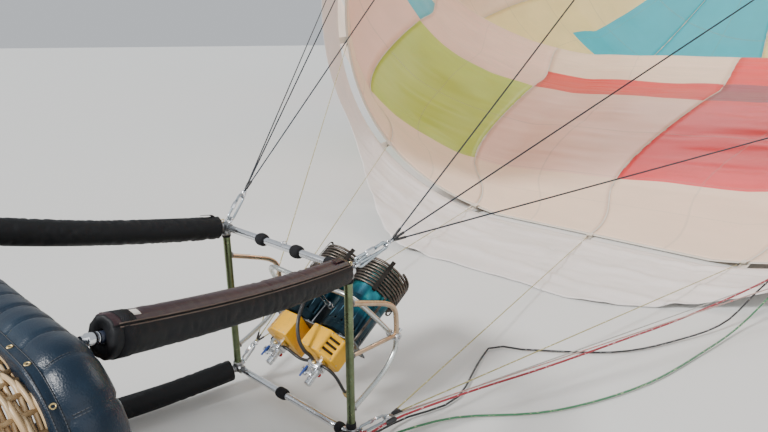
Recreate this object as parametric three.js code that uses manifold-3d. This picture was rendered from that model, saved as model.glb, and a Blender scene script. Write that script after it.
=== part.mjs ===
// A hot air balloon laid out for cold inflation: the basket lies on its side, the burner frame
// stands in front of it on padded uprights, and the half filled envelope lies on the ground.
// Millimetres, +Z up. +Y runs from the basket through the frame into the envelope's mouth,
// +X is the side that faces the viewer, and the frame stands over x = 0, y = 0 while it is drawn.
import * as THREE from "three";
import { mergeVertices } from "three/addons/utils/BufferGeometryUtils.js";
import Module from "manifold-3d";

const wasm = await Module();
wasm.setup();

// Driving dimensions of the load frame and its bows
const FRAME_HALF_WIDTH = 375;
const FRAME_LOW = 100;
const FRAME_HIGH = 817;
const FRAME_TUBE_R = 16.5;
const RAIL_R = 15;
const CORNER_R = 26;
const SOCKET_R = 17;
const SOCKET_LENGTH = 62;
const BOW_TUBE_R = 11;
const BOW_TOP_Z = 680;
const BOW_LOW_Z = 210;
const BOW_REACH = 283;
const PIVOT_Z = 420;
const PIVOT_BOSS_R = 19;
const PIVOT_BOSS_HALF = 16;
const PIVOT_PIN_R = 8;
const PIVOT_PIN_LENGTH = 40;
const PIN_PLAY = 0.5;
const STRUT_R = 9;
const STRUT_Z = 454;

// Gimbal yoke, above the pivots in a plane that leans back
const YOKE_LEAN_DEG = 36;
const YOKE_TUBE_R = 11;
const YOKE_HALF_WIDTH = 345;
const YOKE_HEIGHT = 245;
const YOKE_END_R = 15;
const SWIVEL_PIN_R = 7;
const SWIVEL_POST_R = 10;
const SWIVEL_BOSS_R = 15;

// Burners, measured along the burner axis from the pivot
const BURNER_TILT_DEG = 30;
const BURNER_HALF_SPACING = 126;
const CAN_R = 100;
const CAN_BACK = -118;
const CAN_FRONT = 262;
const CAN_WALL = 4;
const CAN_FLOOR = 8;
const COIL_R = 118;
const COIL_TUBE_R = 6.2;
const COIL_TURNS = 9;
const COIL_BACK = 132;
const COIL_PITCH = 16;
const BOX_BACK = -236;
const BOX_FRONT = -126;
const VALVE_BACK = -350;
const BASE_HALF_HEIGHT = 62;
const BASE_HALF_WIDTH = 262;

// Carabiners and flying wires
const EYE_R = 15;
const EYE_BAR_R = 5;
const LINK_BAR_R = 5.5;
const LINK_END_R = 17;
const LINK_STRAIGHT = 96;
const RING_R = 14;
const RING_BAR_R = 4;
const WIRE_R = 3;

// Basket, lying with its mouth toward the frame
const BASKET_HALF_X = 780;
const BASKET_HALF_Z = 535;
const BASKET_RIM_Y = -974;
const BASKET_DEPTH = 1100;
const BASKET_CORNER_R = 190;
const WALL_INSET = 34;
const RIM_FLANK = 80;
const BASE_BAND = 70;
const WALL_THICKNESS = 40;
const RIM_ROLL_R = 56;
const FLOOR_THICKNESS = 24;
const FLANK_LAP = 12;
const RUNNER_HEIGHT = 42;
const RUNNER_LENGTH = 1320;
const RUNNER_WIDTH = 80;
const RUNNER_SPACING = 300;
const CYLINDER_R = 150;
const CYLINDER_HEIGHT = 860;

// Uprights from the basket's corners to the frame's corners
const ROD_R = 14;
const COVER_R = 53;
const COVER_BORE_R = 18.6;
const ROD_SEAT_GAP = 6;
const COVER_START = 32;
const ROD_BARE_END = 108;
const UPRIGHT_SAG = 24;
const SOCKET_FROM_BEND = 30;
const SOCKET_RISE = 28;

// Envelope: twelve gores between twelve load tapes, on a cone that meets a sphere
const GORES = 12;
const GORE_THICKNESS = 10;
const GORE_COLUMNS = 4;
const SEAM_INSET = 0.18;
const MOUTH_X = 130;
const MOUTH_Y = 3300;
const MOUTH_R = 2200;
const CONE_HALF_ANGLE_DEG = 30;
const ENVELOPE_R = 7500;
const CROWN_DEPTH = 5600;
const CROWN_Z = 5900;
const VENT_R = 2000;
const VALVE_OVERLAP = 250;
const VENT_MIDDLE_R = 1200;
const VENT_HOLE_R = 90;
const CROWN_RING_R = 150;
const CROWN_RING_BAR_R = 9;
const CROWN_TAPE_WIDTH = 50;
const CROWN_TAPE_THICKNESS = 4;
const TAPE_LIFT = 0.8;
const SKIRT_GAP = 0.95;
const MOUTH_TURN_DEG = 14;
const AXIS_TURN_DEG = 4;
const SWERVE = 490;
const SWERVE_LENGTH = 2300;
const SWERVE_BACK = 420;
const SWERVE_END = 4300;
const RISE_START = 1700;
const RISE = 830;
const RISE_LENGTH = 2700;
const SECOND_RISE_START = 5600;
const SECOND_RISE = 450;
const SECOND_RISE_LENGTH = 3000;
const FALL_START = 8500;
const FALL_LENGTH = 2700;
const STRAIGHT_START = 2400;
const MOUTH_LEAN_DEG = 15;
const TURN_LENGTH = 3000;
const LEAN_LENGTH = 5200;
const LYING_HEIGHT_RATIO = 0.76;
const LYING_POWER = 1.28;
const LYING_UNTIL = 600;
const LYING_FADE = 4700;
const GROUND_FLAT = 0.012;
const MOUTH_TAPE_WIDTH = 45;
const SLIT_WIDTH = 110;
const STRAP_WIDTH = 60;
const TAB_LENGTH = 75;
const TAB_R = 9;
const TAB_DEPTH = 14;
const LINE_TABS = [1.86, 1.72, 1.58];
const SKIRT_LENGTH_TOP = 250;
const SKIRT_LENGTH_LOW = 1180;
const SKIRT_MIDDLE = -0.3;
const SKIRT_REACH = 2.1;
const SKIRT_RAMP = 1.5;
const MOUTH_TAPER = 0.14;

// Hoses and control lines
const HOSE_R = 8;
const COUPLING_R = 11;
const LINE_R = 5;
const PEG_R = 6;
const GAP = 0.3;

// Which corner of the frame carries which three tapes, counted from the lowest tape toward +X
const CORNERS = [
  // name, side of X, height, tapes
  ["near_low", 1, FRAME_LOW, [0, 1, 2]],
  ["near_high", 1, FRAME_HIGH, [3, 4, 5]],
  ["far_high", -1, FRAME_HIGH, [6, 7, 8]],
  ["far_low", -1, FRAME_LOW, [9, 10, 11]],
];

const V = (x, y, z) => new THREE.Vector3(x, y, z);
const radians = THREE.MathUtils.degToRad;
const balloon = new THREE.Group();
balloon.name = "hot_air_balloon";

function finish(color, roughness, metalness) {
  return new THREE.MeshStandardMaterial({ color, roughness, metalness });
}

function add(name, geometry, color, roughness, metalness, parent = balloon) {
  const mesh = new THREE.Mesh(geometry, finish(color, roughness, metalness));
  mesh.name = name;
  parent.add(mesh);
  return mesh;
}

// The bare shape, with its shared corners merged
function welded(geometry) {
  const bare = geometry.clone();
  bare.deleteAttribute("normal");
  bare.deleteAttribute("uv");
  return mergeVertices(bare, 1e-3);
}

// Solid booleans on closed geometries
function toSolid(geometry) {
  const merged = welded(geometry);
  return new wasm.Manifold(new wasm.Mesh({
    numProp: 3,
    vertProperties: new Float32Array(merged.attributes.position.array),
    triVerts: new Uint32Array(merged.index.array),
  }));
}

function toGeometry(solid) {
  const mesh = solid.getMesh();
  const geometry = new THREE.BufferGeometry();
  const places = new THREE.BufferAttribute(new Float32Array(mesh.vertProperties), 3);
  geometry.setAttribute("position", places);
  geometry.setIndex(new THREE.BufferAttribute(new Uint32Array(mesh.triVerts), 1));
  return geometry;
}

function join(...geometries) {
  return toGeometry(geometries.map(toSolid).reduce((sum, next) => sum.add(next)));
}

function cut(geometry, ...tools) {
  const start = toSolid(geometry);
  return toGeometry(tools.map(toSolid).reduce((left, tool) => left.subtract(tool), start));
}

// Turns a closed geometry's faces outward
function facingOut(raw) {
  const geometry = welded(raw);
  const p = geometry.attributes.position;
  const index = geometry.index.array;
  const corner = [V(0, 0, 0), V(0, 0, 0), V(0, 0, 0)];
  let volume = 0;
  for (let i = 0; i < index.length; i += 3) {
    corner.forEach((c, j) => c.fromBufferAttribute(p, index[i + j]));
    volume += corner[0].dot(corner[1].clone().cross(corner[2]));
  }
  if (volume < 0) geometry.setIndex(Array.from(index).reverse());
  return geometry;
}

// A geometry through rings of points: quads between neighbouring rings, caps on the end rings
function loft(rings, closed = false) {
  const count = rings[0].length;
  const positions = rings.flat().flatMap((p) => [p.x, p.y, p.z]);
  const index = [];
  const last = closed ? rings.length : rings.length - 1;
  for (let i = 0; i < last; i++) {
    const here = i * count;
    const next = ((i + 1) % rings.length) * count;
    for (let j = 0; j < count; j++) {
      const k = (j + 1) % count;
      index.push(here + j, here + k, next + k, here + j, next + k, next + j);
    }
  }
  if (!closed) {
    const end = (rings.length - 1) * count;
    for (let j = 1; j < count - 1; j++) {
      index.push(0, j + 1, j, end, end + j, end + j + 1);
    }
  }
  const geometry = new THREE.BufferGeometry();
  geometry.setAttribute("position", new THREE.Float32BufferAttribute(positions, 3));
  geometry.setIndex(index);
  return facingOut(geometry);
}

// A straight round bar between two points
function bar(from, to, radius, sides = 12) {
  const length = from.distanceTo(to);
  const geometry = new THREE.CylinderGeometry(radius, radius, length, sides);
  const turn = new THREE.Quaternion().setFromUnitVectors(V(0, 1, 0), to.clone().sub(from).normalize());
  geometry.applyQuaternion(turn);
  const middle = from.clone().add(to).multiplyScalar(0.5);
  return geometry.translate(middle.x, middle.y, middle.z);
}

function circle(radius, sides, bore = 0) {
  const shape = new THREE.Shape();
  shape.absarc(0, 0, radius, 0, 2 * Math.PI, false);
  if (bore) {
    const hole = new THREE.Path();
    hole.absarc(0, 0, bore, 0, 2 * Math.PI, true);
    shape.holes.push(hole);
  }
  return [shape, sides / 2];
}

function swept(extrudePath, shape, steps, curveSegments) {
  return new THREE.ExtrudeGeometry(shape, { steps, curveSegments, extrudePath, bevelEnabled: false });
}

// A bent round bar or tube along a curve
function tube(points, radius, steps, sides = 10, bore = 0) {
  const [shape, curveSegments] = circle(radius, sides, bore);
  const path = new THREE.CatmullRomCurve3(points, false, "catmullrom", 0.5);
  return swept(path, shape, steps, curveSegments);
}

// A closed bar whose middle line is a flat loop: points in the plane of two directions
function loop(points, normal, radius, sides = 8) {
  const rings = points.map((p, i) => {
    const before = points[(i + points.length - 1) % points.length];
    const after = points[(i + 1) % points.length];
    const along = after.clone().sub(before).normalize();
    const outward = normal.clone().cross(along).normalize();
    return Array.from({ length: sides }, (_, j) => {
      const angle = (2 * Math.PI * j) / sides;
      return p.clone()
        .addScaledVector(outward, radius * Math.cos(angle))
        .addScaledVector(normal, radius * Math.sin(angle));
    });
  });
  return loft(rings, true);
}

// A rounded rectangle in two directions, as points counter-clockwise
function roundedRect(halfA, halfB, radius, arcSteps) {
  const points = [];
  const middles = [[1, 1, 0], [-1, 1, 90], [-1, -1, 180], [1, -1, 270]];
  for (const [sideA, sideB, start] of middles) {
    for (let i = 0; i <= arcSteps; i++) {
      const angle = radians(start + (90 * i) / arcSteps);
      points.push([
        sideA * (halfA - radius) + radius * Math.cos(angle),
        sideB * (halfB - radius) + radius * Math.sin(angle),
      ]);
    }
  }
  return points;
}

// The envelope's surface. Distance along the axis from the mouth gives a nominal radius, and the
// cloth of that ring lies on the ground as a rounded, low section of the same girth.
const coneSlope = Math.tan(radians(CONE_HALF_ANGLE_DEG));
const coneEnd = (ENVELOPE_R * Math.cos(radians(CONE_HALF_ANGLE_DEG)) - MOUTH_R) / coneSlope;
const widest = coneEnd + ENVELOPE_R * Math.sin(radians(CONE_HALF_ANGLE_DEG));

function nominalRadius(a) {
  if (a < 0) return MOUTH_R + a * MOUTH_TAPER;
  if (a < coneEnd) return MOUTH_R + a * coneSlope;
  if (a < widest) return Math.sqrt(ENVELOPE_R ** 2 - (a - widest) ** 2);
  return ENVELOPE_R * Math.sqrt(Math.max(0, 1 - ((a - widest) / CROWN_DEPTH) ** 2));
}

function crownDistance(radius) {
  return widest + CROWN_DEPTH * Math.sqrt(1 - (radius / ENVELOPE_R) ** 2);
}

const ease = (t) => THREE.MathUtils.smoothstep(t, 0, 1);
const SAMPLES = 480;
const sections = new Map();

// One section of the lying envelope, as points at equal steps of girth from the lowest point
function section(a) {
  const radius = nominalRadius(a);
  const key = a.toFixed(3);
  if (sections.has(key)) return sections.get(key);
  const lying = 1 - ease((a - widest + LYING_UNTIL) / LYING_FADE);
  const ratio = THREE.MathUtils.lerp(1, LYING_HEIGHT_RATIO, lying);
  const power = THREE.MathUtils.lerp(1, LYING_POWER, lying);
  const flat = GROUND_FLAT * lying;
  const raw = [];
  for (let i = 0; i <= SAMPLES; i++) {
    const angle = (2 * Math.PI * i) / SAMPLES;
    const height = ((1 - Math.cos(angle)) / 2) ** power;
    raw.push([Math.sin(angle), 2 * ratio * Math.max(0, height - flat)]);
  }
  const lengths = [0];
  for (let i = 1; i <= SAMPLES; i++) {
    lengths.push(lengths[i - 1] + Math.hypot(raw[i][0] - raw[i - 1][0], raw[i][1] - raw[i - 1][1]));
  }
  const scale = (2 * Math.PI * radius) / lengths[SAMPLES];
  const height = 2 * ratio * (1 - flat) * scale;
  const made = { raw, lengths, scale, height, total: lengths[SAMPLES] };
  sections.set(key, made);
  return made;
}

function sectionPoint(made, u) {
  const target = (((u / GORES) % 1) + 1) % 1 * made.total;
  let i = 1;
  while (i < SAMPLES && made.lengths[i] < target) i++;
  const t = (target - made.lengths[i - 1]) / (made.lengths[i] - made.lengths[i - 1]);
  const [x0, h0] = made.raw[i - 1];
  const [x1, h1] = made.raw[i];
  return [(x0 + (x1 - x0) * t) * made.scale, (h0 + (h1 - h0) * t) * made.scale];
}

const widestHeight = section(widest).height;

// How far the middle line lies aside of the mouth, and how high the slack lower cloth is blown
function swerve(a) {
  const back = SWERVE_BACK * ease((a - SWERVE_LENGTH) / (SWERVE_END - SWERVE_LENGTH));
  const on = Math.max(0, a - SWERVE_END) * Math.tan(radians(AXIS_TURN_DEG));
  return SWERVE * ease(a / SWERVE_LENGTH) - back + on;
}

function rise(a) {
  const first = RISE * ease((a - RISE_START) / RISE_LENGTH);
  const second = SECOND_RISE * ease((a - SECOND_RISE_START) / SECOND_RISE_LENGTH);
  return (first + second) * (1 - ease((a - FALL_START) / FALL_LENGTH));
}

// A place on the outer face of the envelope (a >= 0) or of the skirt (a < 0)
function surface(a, u) {
  const made = section(a);
  const [x, h] = sectionPoint(made, u);
  const straighter = radians(MOUTH_TURN_DEG - AXIS_TURN_DEG) * ease((a - STRAIGHT_START) / TURN_LENGTH);
  const turn = radians(MOUTH_TURN_DEG) * ease(a / TURN_LENGTH) - straighter;
  const lean = radians(MOUTH_LEAN_DEG) * (1 - ease(a / LEAN_LENGTH));
  const past = ease((a - widest) / CROWN_DEPTH);
  const middle = THREE.MathUtils.lerp(widestHeight / 2, CROWN_Z, past);
  const lift = a > widest ? Math.max(0, middle - made.height / 2) : 0;
  const raised = rise(a) * (1 - h / Math.max(made.height, 1));
  const baseX = MOUTH_X - swerve(a);
  const baseY = MOUTH_Y + a;
  const back = h * Math.sin(lean);
  return V(
    baseX + x * Math.cos(turn) + back * Math.sin(turn),
    baseY + x * Math.sin(turn) - back * Math.cos(turn),
    lift + raised + h * Math.cos(lean),
  );
}

// Outward direction of that face
function outward(a, u) {
  const stepA = 4;
  const stepU = 0.01;
  const alongA = surface(a + stepA, u).sub(surface(a - stepA, u));
  const alongU = surface(a, u + stepU).sub(surface(a, u - stepU));
  return alongA.cross(alongU).normalize();
}

// A cloth panel over rows of a and a list of u, as a closed shell of even thickness. A row is one
// distance, or a function of u. The panel can go all the way round.
function cloth(rows, columns, thickness, { round = false, depth = 0 } = {}) {
  const outer = [];
  const inner = [];
  const ends = round ? {} : { 0: 1, [columns.length - 1]: -1 };
  for (const row of rows) {
    for (const [column, u] of columns.entries()) {
      const a = typeof row === "function" ? row(u) : row;
      const inset = (ends[column] ?? 0) * SEAM_INSET;
      const place = surface(a, u + (inset * GORES) / (2 * Math.PI * nominalRadius(a)));
      const way = outward(a, u);
      outer.push(place.clone().addScaledVector(way, -depth));
      inner.push(place.clone().addScaledVector(way, -depth - thickness));
    }
  }
  const wide = columns.length;
  const index = [];
  const quad = (p, q, r, s) => index.push(p, q, r, p, r, s);
  const shift = outer.length;
  const columnsRound = round ? wide : wide - 1;
  for (let i = 0; i < rows.length - 1; i++) {
    for (let j = 0; j < columnsRound; j++) {
      const k = (j + 1) % wide;
      const [p, q, r, s] = [i * wide + j, i * wide + k, (i + 1) * wide + k, (i + 1) * wide + j];
      quad(p, q, r, s);
      quad(shift + p, shift + s, shift + r, shift + q);
    }
    if (!round) {
      const [p, s] = [i * wide, (i + 1) * wide];
      quad(s, s + shift, p + shift, p);
      const [q, r] = [i * wide + wide - 1, (i + 1) * wide + wide - 1];
      quad(r, q, q + shift, r + shift);
    }
  }
  const end = (rows.length - 1) * wide;
  for (let j = 0; j < columnsRound; j++) {
    const k = (j + 1) % wide;
    quad(j, j + shift, k + shift, k);
    quad(end + k, end + k + shift, end + j + shift, end + j);
  }
  const geometry = new THREE.BufferGeometry();
  const positions = outer.concat(inner).flatMap((p) => [p.x, p.y, p.z]);
  geometry.setAttribute("position", new THREE.Float32BufferAttribute(positions, 3));
  geometry.setIndex(index);
  return facingOut(geometry);
}

// Rows of the envelope: the cone, the sphere and the flatter crown end
const goreRows = [0, 1050, 2100, 3150, 4200, 5250, 6300, coneEnd, 8400, 9500];
goreRows.push(10400, widest);
for (const angle of [20, 38, 53, 64]) {
  goreRows.push(widest + CROWN_DEPTH * Math.sin(radians(angle)));
}
goreRows.push(crownDistance(VENT_R + VALVE_OVERLAP), crownDistance(VENT_R));

// Twelve gores
const GORE_COLORS = [0xeadfca, 0xeadfca, 0xc23a45, 0xeadfca];
for (let gore = 0; gore < GORES; gore++) {
  const columns = Array.from({ length: GORE_COLUMNS + 1 }, (_, j) => gore + j / GORE_COLUMNS);
  const name = `gore_${String(gore + 1).padStart(2, "0")}`;
  add(name, cloth(goreRows, columns, GORE_THICKNESS), GORE_COLORS[gore % 4], 0.85, 0);
}

// The valve panel that closes the vent from inside, and the crown ring with its twelve tapes
const around = Array.from({ length: GORES * GORE_COLUMNS }, (_, j) => j / GORE_COLUMNS);
const halfGores = around.filter((u) => (u * 2) % 1 === 0);
const ventRows = [VENT_R + VALVE_OVERLAP, VENT_R, VENT_MIDDLE_R, VENT_HOLE_R].map(crownDistance);
const underGores = { round: true, depth: GORE_THICKNESS + GAP };
const valvePanel = cloth(ventRows, halfGores, GORE_THICKNESS, underGores);
add("vent_valve_panel", valvePanel, 0xd8cdb8, 0.85, 0);

function crownTape(tape) {
  const rings = [VENT_R + VALVE_OVERLAP, VENT_R, VENT_MIDDLE_R, CROWN_RING_R].map((radius) => {
    const a = crownDistance(radius);
    const place = surface(a, tape);
    const up = outward(a, tape);
    const side = surface(a, tape + 0.01).sub(surface(a, tape - 0.01)).normalize();
    const at = (across, high) => place.clone().addScaledVector(side, across).addScaledVector(up, high);
    const [half, low, high] = [CROWN_TAPE_WIDTH / 2, TAPE_LIFT, TAPE_LIFT + CROWN_TAPE_THICKNESS];
    return [at(-half, low), at(half, low), at(half, high), at(-half, high)];
  });
  return loft(rings);
}

const crownCircle = halfGores.map((u) => {
  const a = crownDistance(CROWN_RING_R);
  return surface(a, u).addScaledVector(outward(a, u), 3);
});
const crownNormal = outward(crownDistance(0.5), 0);
const crownTapes = Array.from({ length: GORES }, (_, k) => crownTape(k));
const crownBar = loop(crownCircle, crownNormal, CROWN_RING_BAR_R, 6);
add("crown_ring", join(crownBar, ...crownTapes), 0xb9b4a8, 0.6, 0.2);

// Corner fittings: where each corner's wires start
const tabFoot = (tape) => {
  const a = -MOUTH_TAPE_WIDTH / 2;
  return surface(a, tape).addScaledVector(outward(a, tape), -TAB_DEPTH);
};
const corners = CORNERS.map(([name, side, z, tapes]) => {
  const place = V(side * FRAME_HALF_WIDTH, 0, z);
  const feet = tapes.map(tabFoot);
  const aim = feet.reduce((sum, foot) => sum.add(foot), V(0, 0, 0)).divideScalar(3);
  const along = aim.sub(place).normalize();
  const across = along.clone().cross(V(0, 0, 1)).normalize();
  const over = across.clone().cross(along);
  const eye = place.clone().addScaledVector(along, CORNER_R + 8);
  const linkStart = eye.clone().addScaledVector(along, EYE_R - EYE_BAR_R - LINK_BAR_R - GAP);
  const linkEnd = linkStart.clone().addScaledVector(along, LINK_STRAIGHT + 2 * LINK_END_R);
  const ring = linkEnd.clone().addScaledVector(along, RING_R - LINK_BAR_R - RING_BAR_R - GAP);
  const wireStart = ring.clone().addScaledVector(along, RING_R);
  return { name, side, z, tapes, feet, place, along, across, over, eye, linkStart, ring, wireStart };
});

function ringLoop(middle, dirA, dirB, radius, barRadius, steps = 12) {
  const points = Array.from({ length: steps }, (_, i) => {
    const angle = (2 * Math.PI * i) / steps;
    return middle.clone()
      .addScaledVector(dirA, radius * Math.cos(angle))
      .addScaledVector(dirB, radius * Math.sin(angle));
  });
  return loop(points, dirA.clone().cross(dirB).normalize(), barRadius, 6);
}

// A long oval link whose first end lies at start
function ovalLoop(start, along, side, straight, endRadius, barRadius) {
  const points = [];
  for (const [offset, from] of [[endRadius, 90], [endRadius + straight, 270]]) {
    for (let i = 0; i <= 6; i++) {
      const angle = radians(from + 30 * i);
      points.push(start.clone()
        .addScaledVector(along, offset + endRadius * Math.cos(angle))
        .addScaledVector(side, endRadius * Math.sin(angle)));
    }
  }
  return loop(points, along.clone().cross(side).normalize(), barRadius, 6);
}

// Mouth tape with a strap across the slit and a tab for the wire at each load tape
const mouthParts = [cloth([-MOUTH_TAPE_WIDTH, -TAPE_LIFT], around, GORE_THICKNESS, { round: true })];
const strapHalf = (STRAP_WIDTH / 2) * (GORES / (2 * Math.PI * MOUTH_R));
const strapRows = [-MOUTH_TAPE_WIDTH - SLIT_WIDTH, -MOUTH_TAPE_WIDTH / 2];

// A tab from the tape toward a corner of the frame; gives the place where its line starts
function mouthTab(u, corner) {
  const foot = tabFoot(u);
  const toCorner = corner.wireStart.clone().sub(foot).normalize();
  const end = foot.clone().addScaledVector(toCorner, TAB_LENGTH);
  mouthParts.push(bar(foot, end, TAB_R, 6));
  return end.addScaledVector(toCorner, GAP);
}

const tabEnds = [];
for (const corner of corners) {
  for (const tape of corner.tapes) {
    mouthParts.push(cloth(strapRows, [tape - strapHalf, tape, tape + strapHalf], GORE_THICKNESS));
    tabEnds[tape] = mouthTab(tape, corner);
  }
}
const lineEnds = LINE_TABS.map((u) => mouthTab(u, corners[0]));
add("mouth_tape", join(...mouthParts), 0xe9e4d8, 0.8, 0);

// Skirt: a scoop, long below where it lies on the ground and short over the top
const skirtTop = -MOUTH_TAPE_WIDTH - SLIT_WIDTH - SKIRT_GAP;
function skirtLength(u) {
  const turned = THREE.MathUtils.euclideanModulo(u - SKIRT_MIDDLE + GORES / 2, GORES);
  const away = Math.abs(turned - GORES / 2);
  const low = ease((SKIRT_REACH - away) / SKIRT_RAMP);
  return THREE.MathUtils.lerp(SKIRT_LENGTH_TOP, SKIRT_LENGTH_LOW, low);
}
const skirtRows = [0, 0.35, 0.7, 1].map((t) => (u) => skirtTop - t * skirtLength(u));
add("skirt", cloth(skirtRows, around, GORE_THICKNESS, { round: true }), 0xe6d9c4, 0.85, 0);

// Flying wires, three from a ring at each corner, and the link that joins them to the frame
for (const c of corners) {
  const wires = c.tapes.map((tape) => bar(tabEnds[tape], c.wireStart, WIRE_R, 6));
  const ring = ringLoop(c.ring, c.along, c.across, RING_R, RING_BAR_R);
  add(`flying_wires_${c.name}`, join(ring, ...wires), 0x3c4048, 0.5, 0.7);
  const link = ovalLoop(c.linkStart, c.along, c.over, LINK_STRAIGHT, LINK_END_R, LINK_BAR_R);
  add(`carabiner_${c.name}`, link, 0x9aa4ac, 0.3, 0.9);
}

// Uprights: a curve from each frame corner to the basket's rim, with a little sag. The high ones
// end on the rim's long side and the low ones on its corners, clear of the ground.
const rimX = BASKET_HALF_X - BASKET_CORNER_R;
const rimZ = BASKET_HALF_Z - BASKET_CORNER_R;
const rimBend = (BASKET_CORNER_R - RIM_ROLL_R) * Math.SQRT1_2;
const rimRollY = BASKET_RIM_Y - RIM_ROLL_R;
function uprightCurve(c) {
  const end = c.z === FRAME_HIGH
    ? V(c.side * (rimX - SOCKET_FROM_BEND), rimRollY, 2 * BASKET_HALF_Z - RIM_ROLL_R + SOCKET_RISE)
    : V(c.side * (rimX + rimBend), rimRollY, BASKET_HALF_Z - rimZ - rimBend);
  const middle = c.place.clone().add(end).multiplyScalar(0.5).sub(V(0, 0, 2 * UPRIGHT_SAG));
  return new THREE.QuadraticBezierCurve3(c.place, middle, end);
}

function stretch(curve, from, to) {
  const [a, b] = [from, to].map((d) => curve.getUtoTmapping(d / curve.getLength()));
  const middle = curve.v0.clone().multiplyScalar((1 - a) * (1 - b))
    .addScaledVector(curve.v1, (1 - a) * b + a * (1 - b))
    .addScaledVector(curve.v2, a * b);
  return new THREE.QuadraticBezierCurve3(curve.getPoint(a), middle, curve.getPoint(b));
}

function along(curve, radius, steps, sides, bore = 0) {
  const [shape, curveSegments] = circle(radius, sides, bore);
  return swept(curve, shape, steps, curveSegments);
}

for (const c of corners) {
  const curve = uprightCurve(c);
  const length = curve.getLength();
  const rod = stretch(curve, SOCKET_LENGTH + GAP, length - RIM_ROLL_R - ROD_SEAT_GAP);
  add(`upright_rod_${c.name}`, along(rod, ROD_R, 4, 8), 0x2f3136, 0.5, 0.1);
  const cover = stretch(curve, COVER_START, length - ROD_BARE_END);
  add(`upright_cover_${c.name}`, along(cover, COVER_R, 5, 12, COVER_BORE_R), 0x1a1b20, 0.6, 0);
}

// Load frame: two side frames, each a tube with corner fittings, a bow with a strut and the pivot
const BOW = [
  // distance in front of the tube, height
  [0, BOW_TOP_Z], [160, 640], [250, 590], [BOW_REACH - 2, 510], [BOW_REACH, PIVOT_Z],
  [BOW_REACH - 26, 335], [BOW_REACH - 120, 268], [0, BOW_LOW_Z],
];

function sideFrame(side, pegs) {
  const inPlane = (y, z) => V(side * FRAME_HALF_WIDTH, y, z);
  const acrossPivot = (x) => V(side * (FRAME_HALF_WIDTH + x), BOW_REACH, PIVOT_Z);
  const parts = [
    bar(inPlane(0, FRAME_LOW), inPlane(0, FRAME_HIGH), FRAME_TUBE_R),
    tube(BOW.map(([y, z]) => inPlane(y, z)), BOW_TUBE_R, 16, 8),
    bar(inPlane(0, STRUT_Z), inPlane(BOW_REACH - 5, PIVOT_Z + 8), STRUT_R, 8),
    bar(acrossPivot(-PIVOT_BOSS_HALF), acrossPivot(PIVOT_BOSS_HALF), PIVOT_BOSS_R),
  ];
  for (const c of corners.filter((each) => each.side === side)) {
    const toBasket = uprightCurve(c).getTangent(0);
    parts.push(
      new THREE.SphereGeometry(CORNER_R, 12, 8).translate(...c.place.toArray()),
      bar(c.place, c.place.clone().addScaledVector(toBasket, SOCKET_LENGTH), SOCKET_R),
      ringLoop(c.eye, c.along, c.across, EYE_R, EYE_BAR_R),
    );
  }
  for (const peg of pegs) parts.push(bar(corners[0].place, peg, PEG_R, 8));
  const boreHalf = 2 * PIVOT_BOSS_HALF;
  const bore = bar(acrossPivot(-boreHalf), acrossPivot(boreHalf), PIVOT_PIN_R + PIN_PLAY, 16);
  return cut(join(...parts), bore);
}

// Pegs on the near low corner, where the control lines are made fast
const linePegs = [[52, 40, 0], [50, 30, -40], [50, -22, -44]].map(([ahead, across, up]) =>
  corners[0].place.clone()
    .addScaledVector(corners[0].along, ahead)
    .addScaledVector(corners[0].across, across)
    .add(V(0, 0, up)));
add("side_frame_near", sideFrame(1, linePegs), 0x8d8a74, 0.35, 0.8);
add("side_frame_far", sideFrame(-1, []), 0x8d8a74, 0.35, 0.8);
const railEnd = FRAME_HALF_WIDTH - CORNER_R - GAP;
for (const [name, z] of [["top_rail", FRAME_HIGH], ["bottom_rail", FRAME_LOW]]) {
  add(name, bar(V(-railEnd, 0, z), V(railEnd, 0, z), RAIL_R), 0xc3c9cf, 0.25, 0.9);
}

// Gimbal yoke, turning on the bows about X. Inside this group +Z is the swivel axis.
const gimbal = new THREE.Group();
gimbal.position.set(0, BOW_REACH, PIVOT_Z);
gimbal.rotation.x = radians(YOKE_LEAN_DEG);
balloon.add(gimbal);

const YOKE = [
  // side, height above the pivots
  [YOKE_HALF_WIDTH, -10], [YOKE_HALF_WIDTH - 3, 42], [312, 140], [282, 205], [228, YOKE_HEIGHT],
  [100, YOKE_HEIGHT],
];
const yokeLine = [...YOKE, ...YOKE.map(([x, z]) => [-x, z]).reverse()].map(([x, z]) => V(x, 0, z));
const yokeParts = [tube(yokeLine, YOKE_TUBE_R, 30, 8)];
for (const side of [-1, 1]) {
  const acrossEnd = (x) => V(side * (YOKE_HALF_WIDTH + x), 0, 0);
  yokeParts.push(bar(acrossEnd(-12), acrossEnd(10), YOKE_END_R));
  yokeParts.push(bar(acrossEnd(0), acrossEnd(PIVOT_PIN_LENGTH), PIVOT_PIN_R));
}
const onSwivel = (height) => V(0, 0, YOKE_HEIGHT + height);
yokeParts.push(bar(onSwivel(-15), onSwivel(15), SWIVEL_BOSS_R));
const swivelBore = bar(onSwivel(-30), onSwivel(30), SWIVEL_PIN_R + PIN_PLAY, 16);
add("gimbal_yoke", cut(join(...yokeParts), swivelBore), 0x9a9c93, 0.35, 0.85, gimbal);

// The burners hang from the swivel. Inside this group +Y is the burner axis.
const burners = new THREE.Group();
burners.position.copy(gimbal.position);
burners.rotation.x = radians(BURNER_TILT_DEG);
balloon.add(burners);

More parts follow.
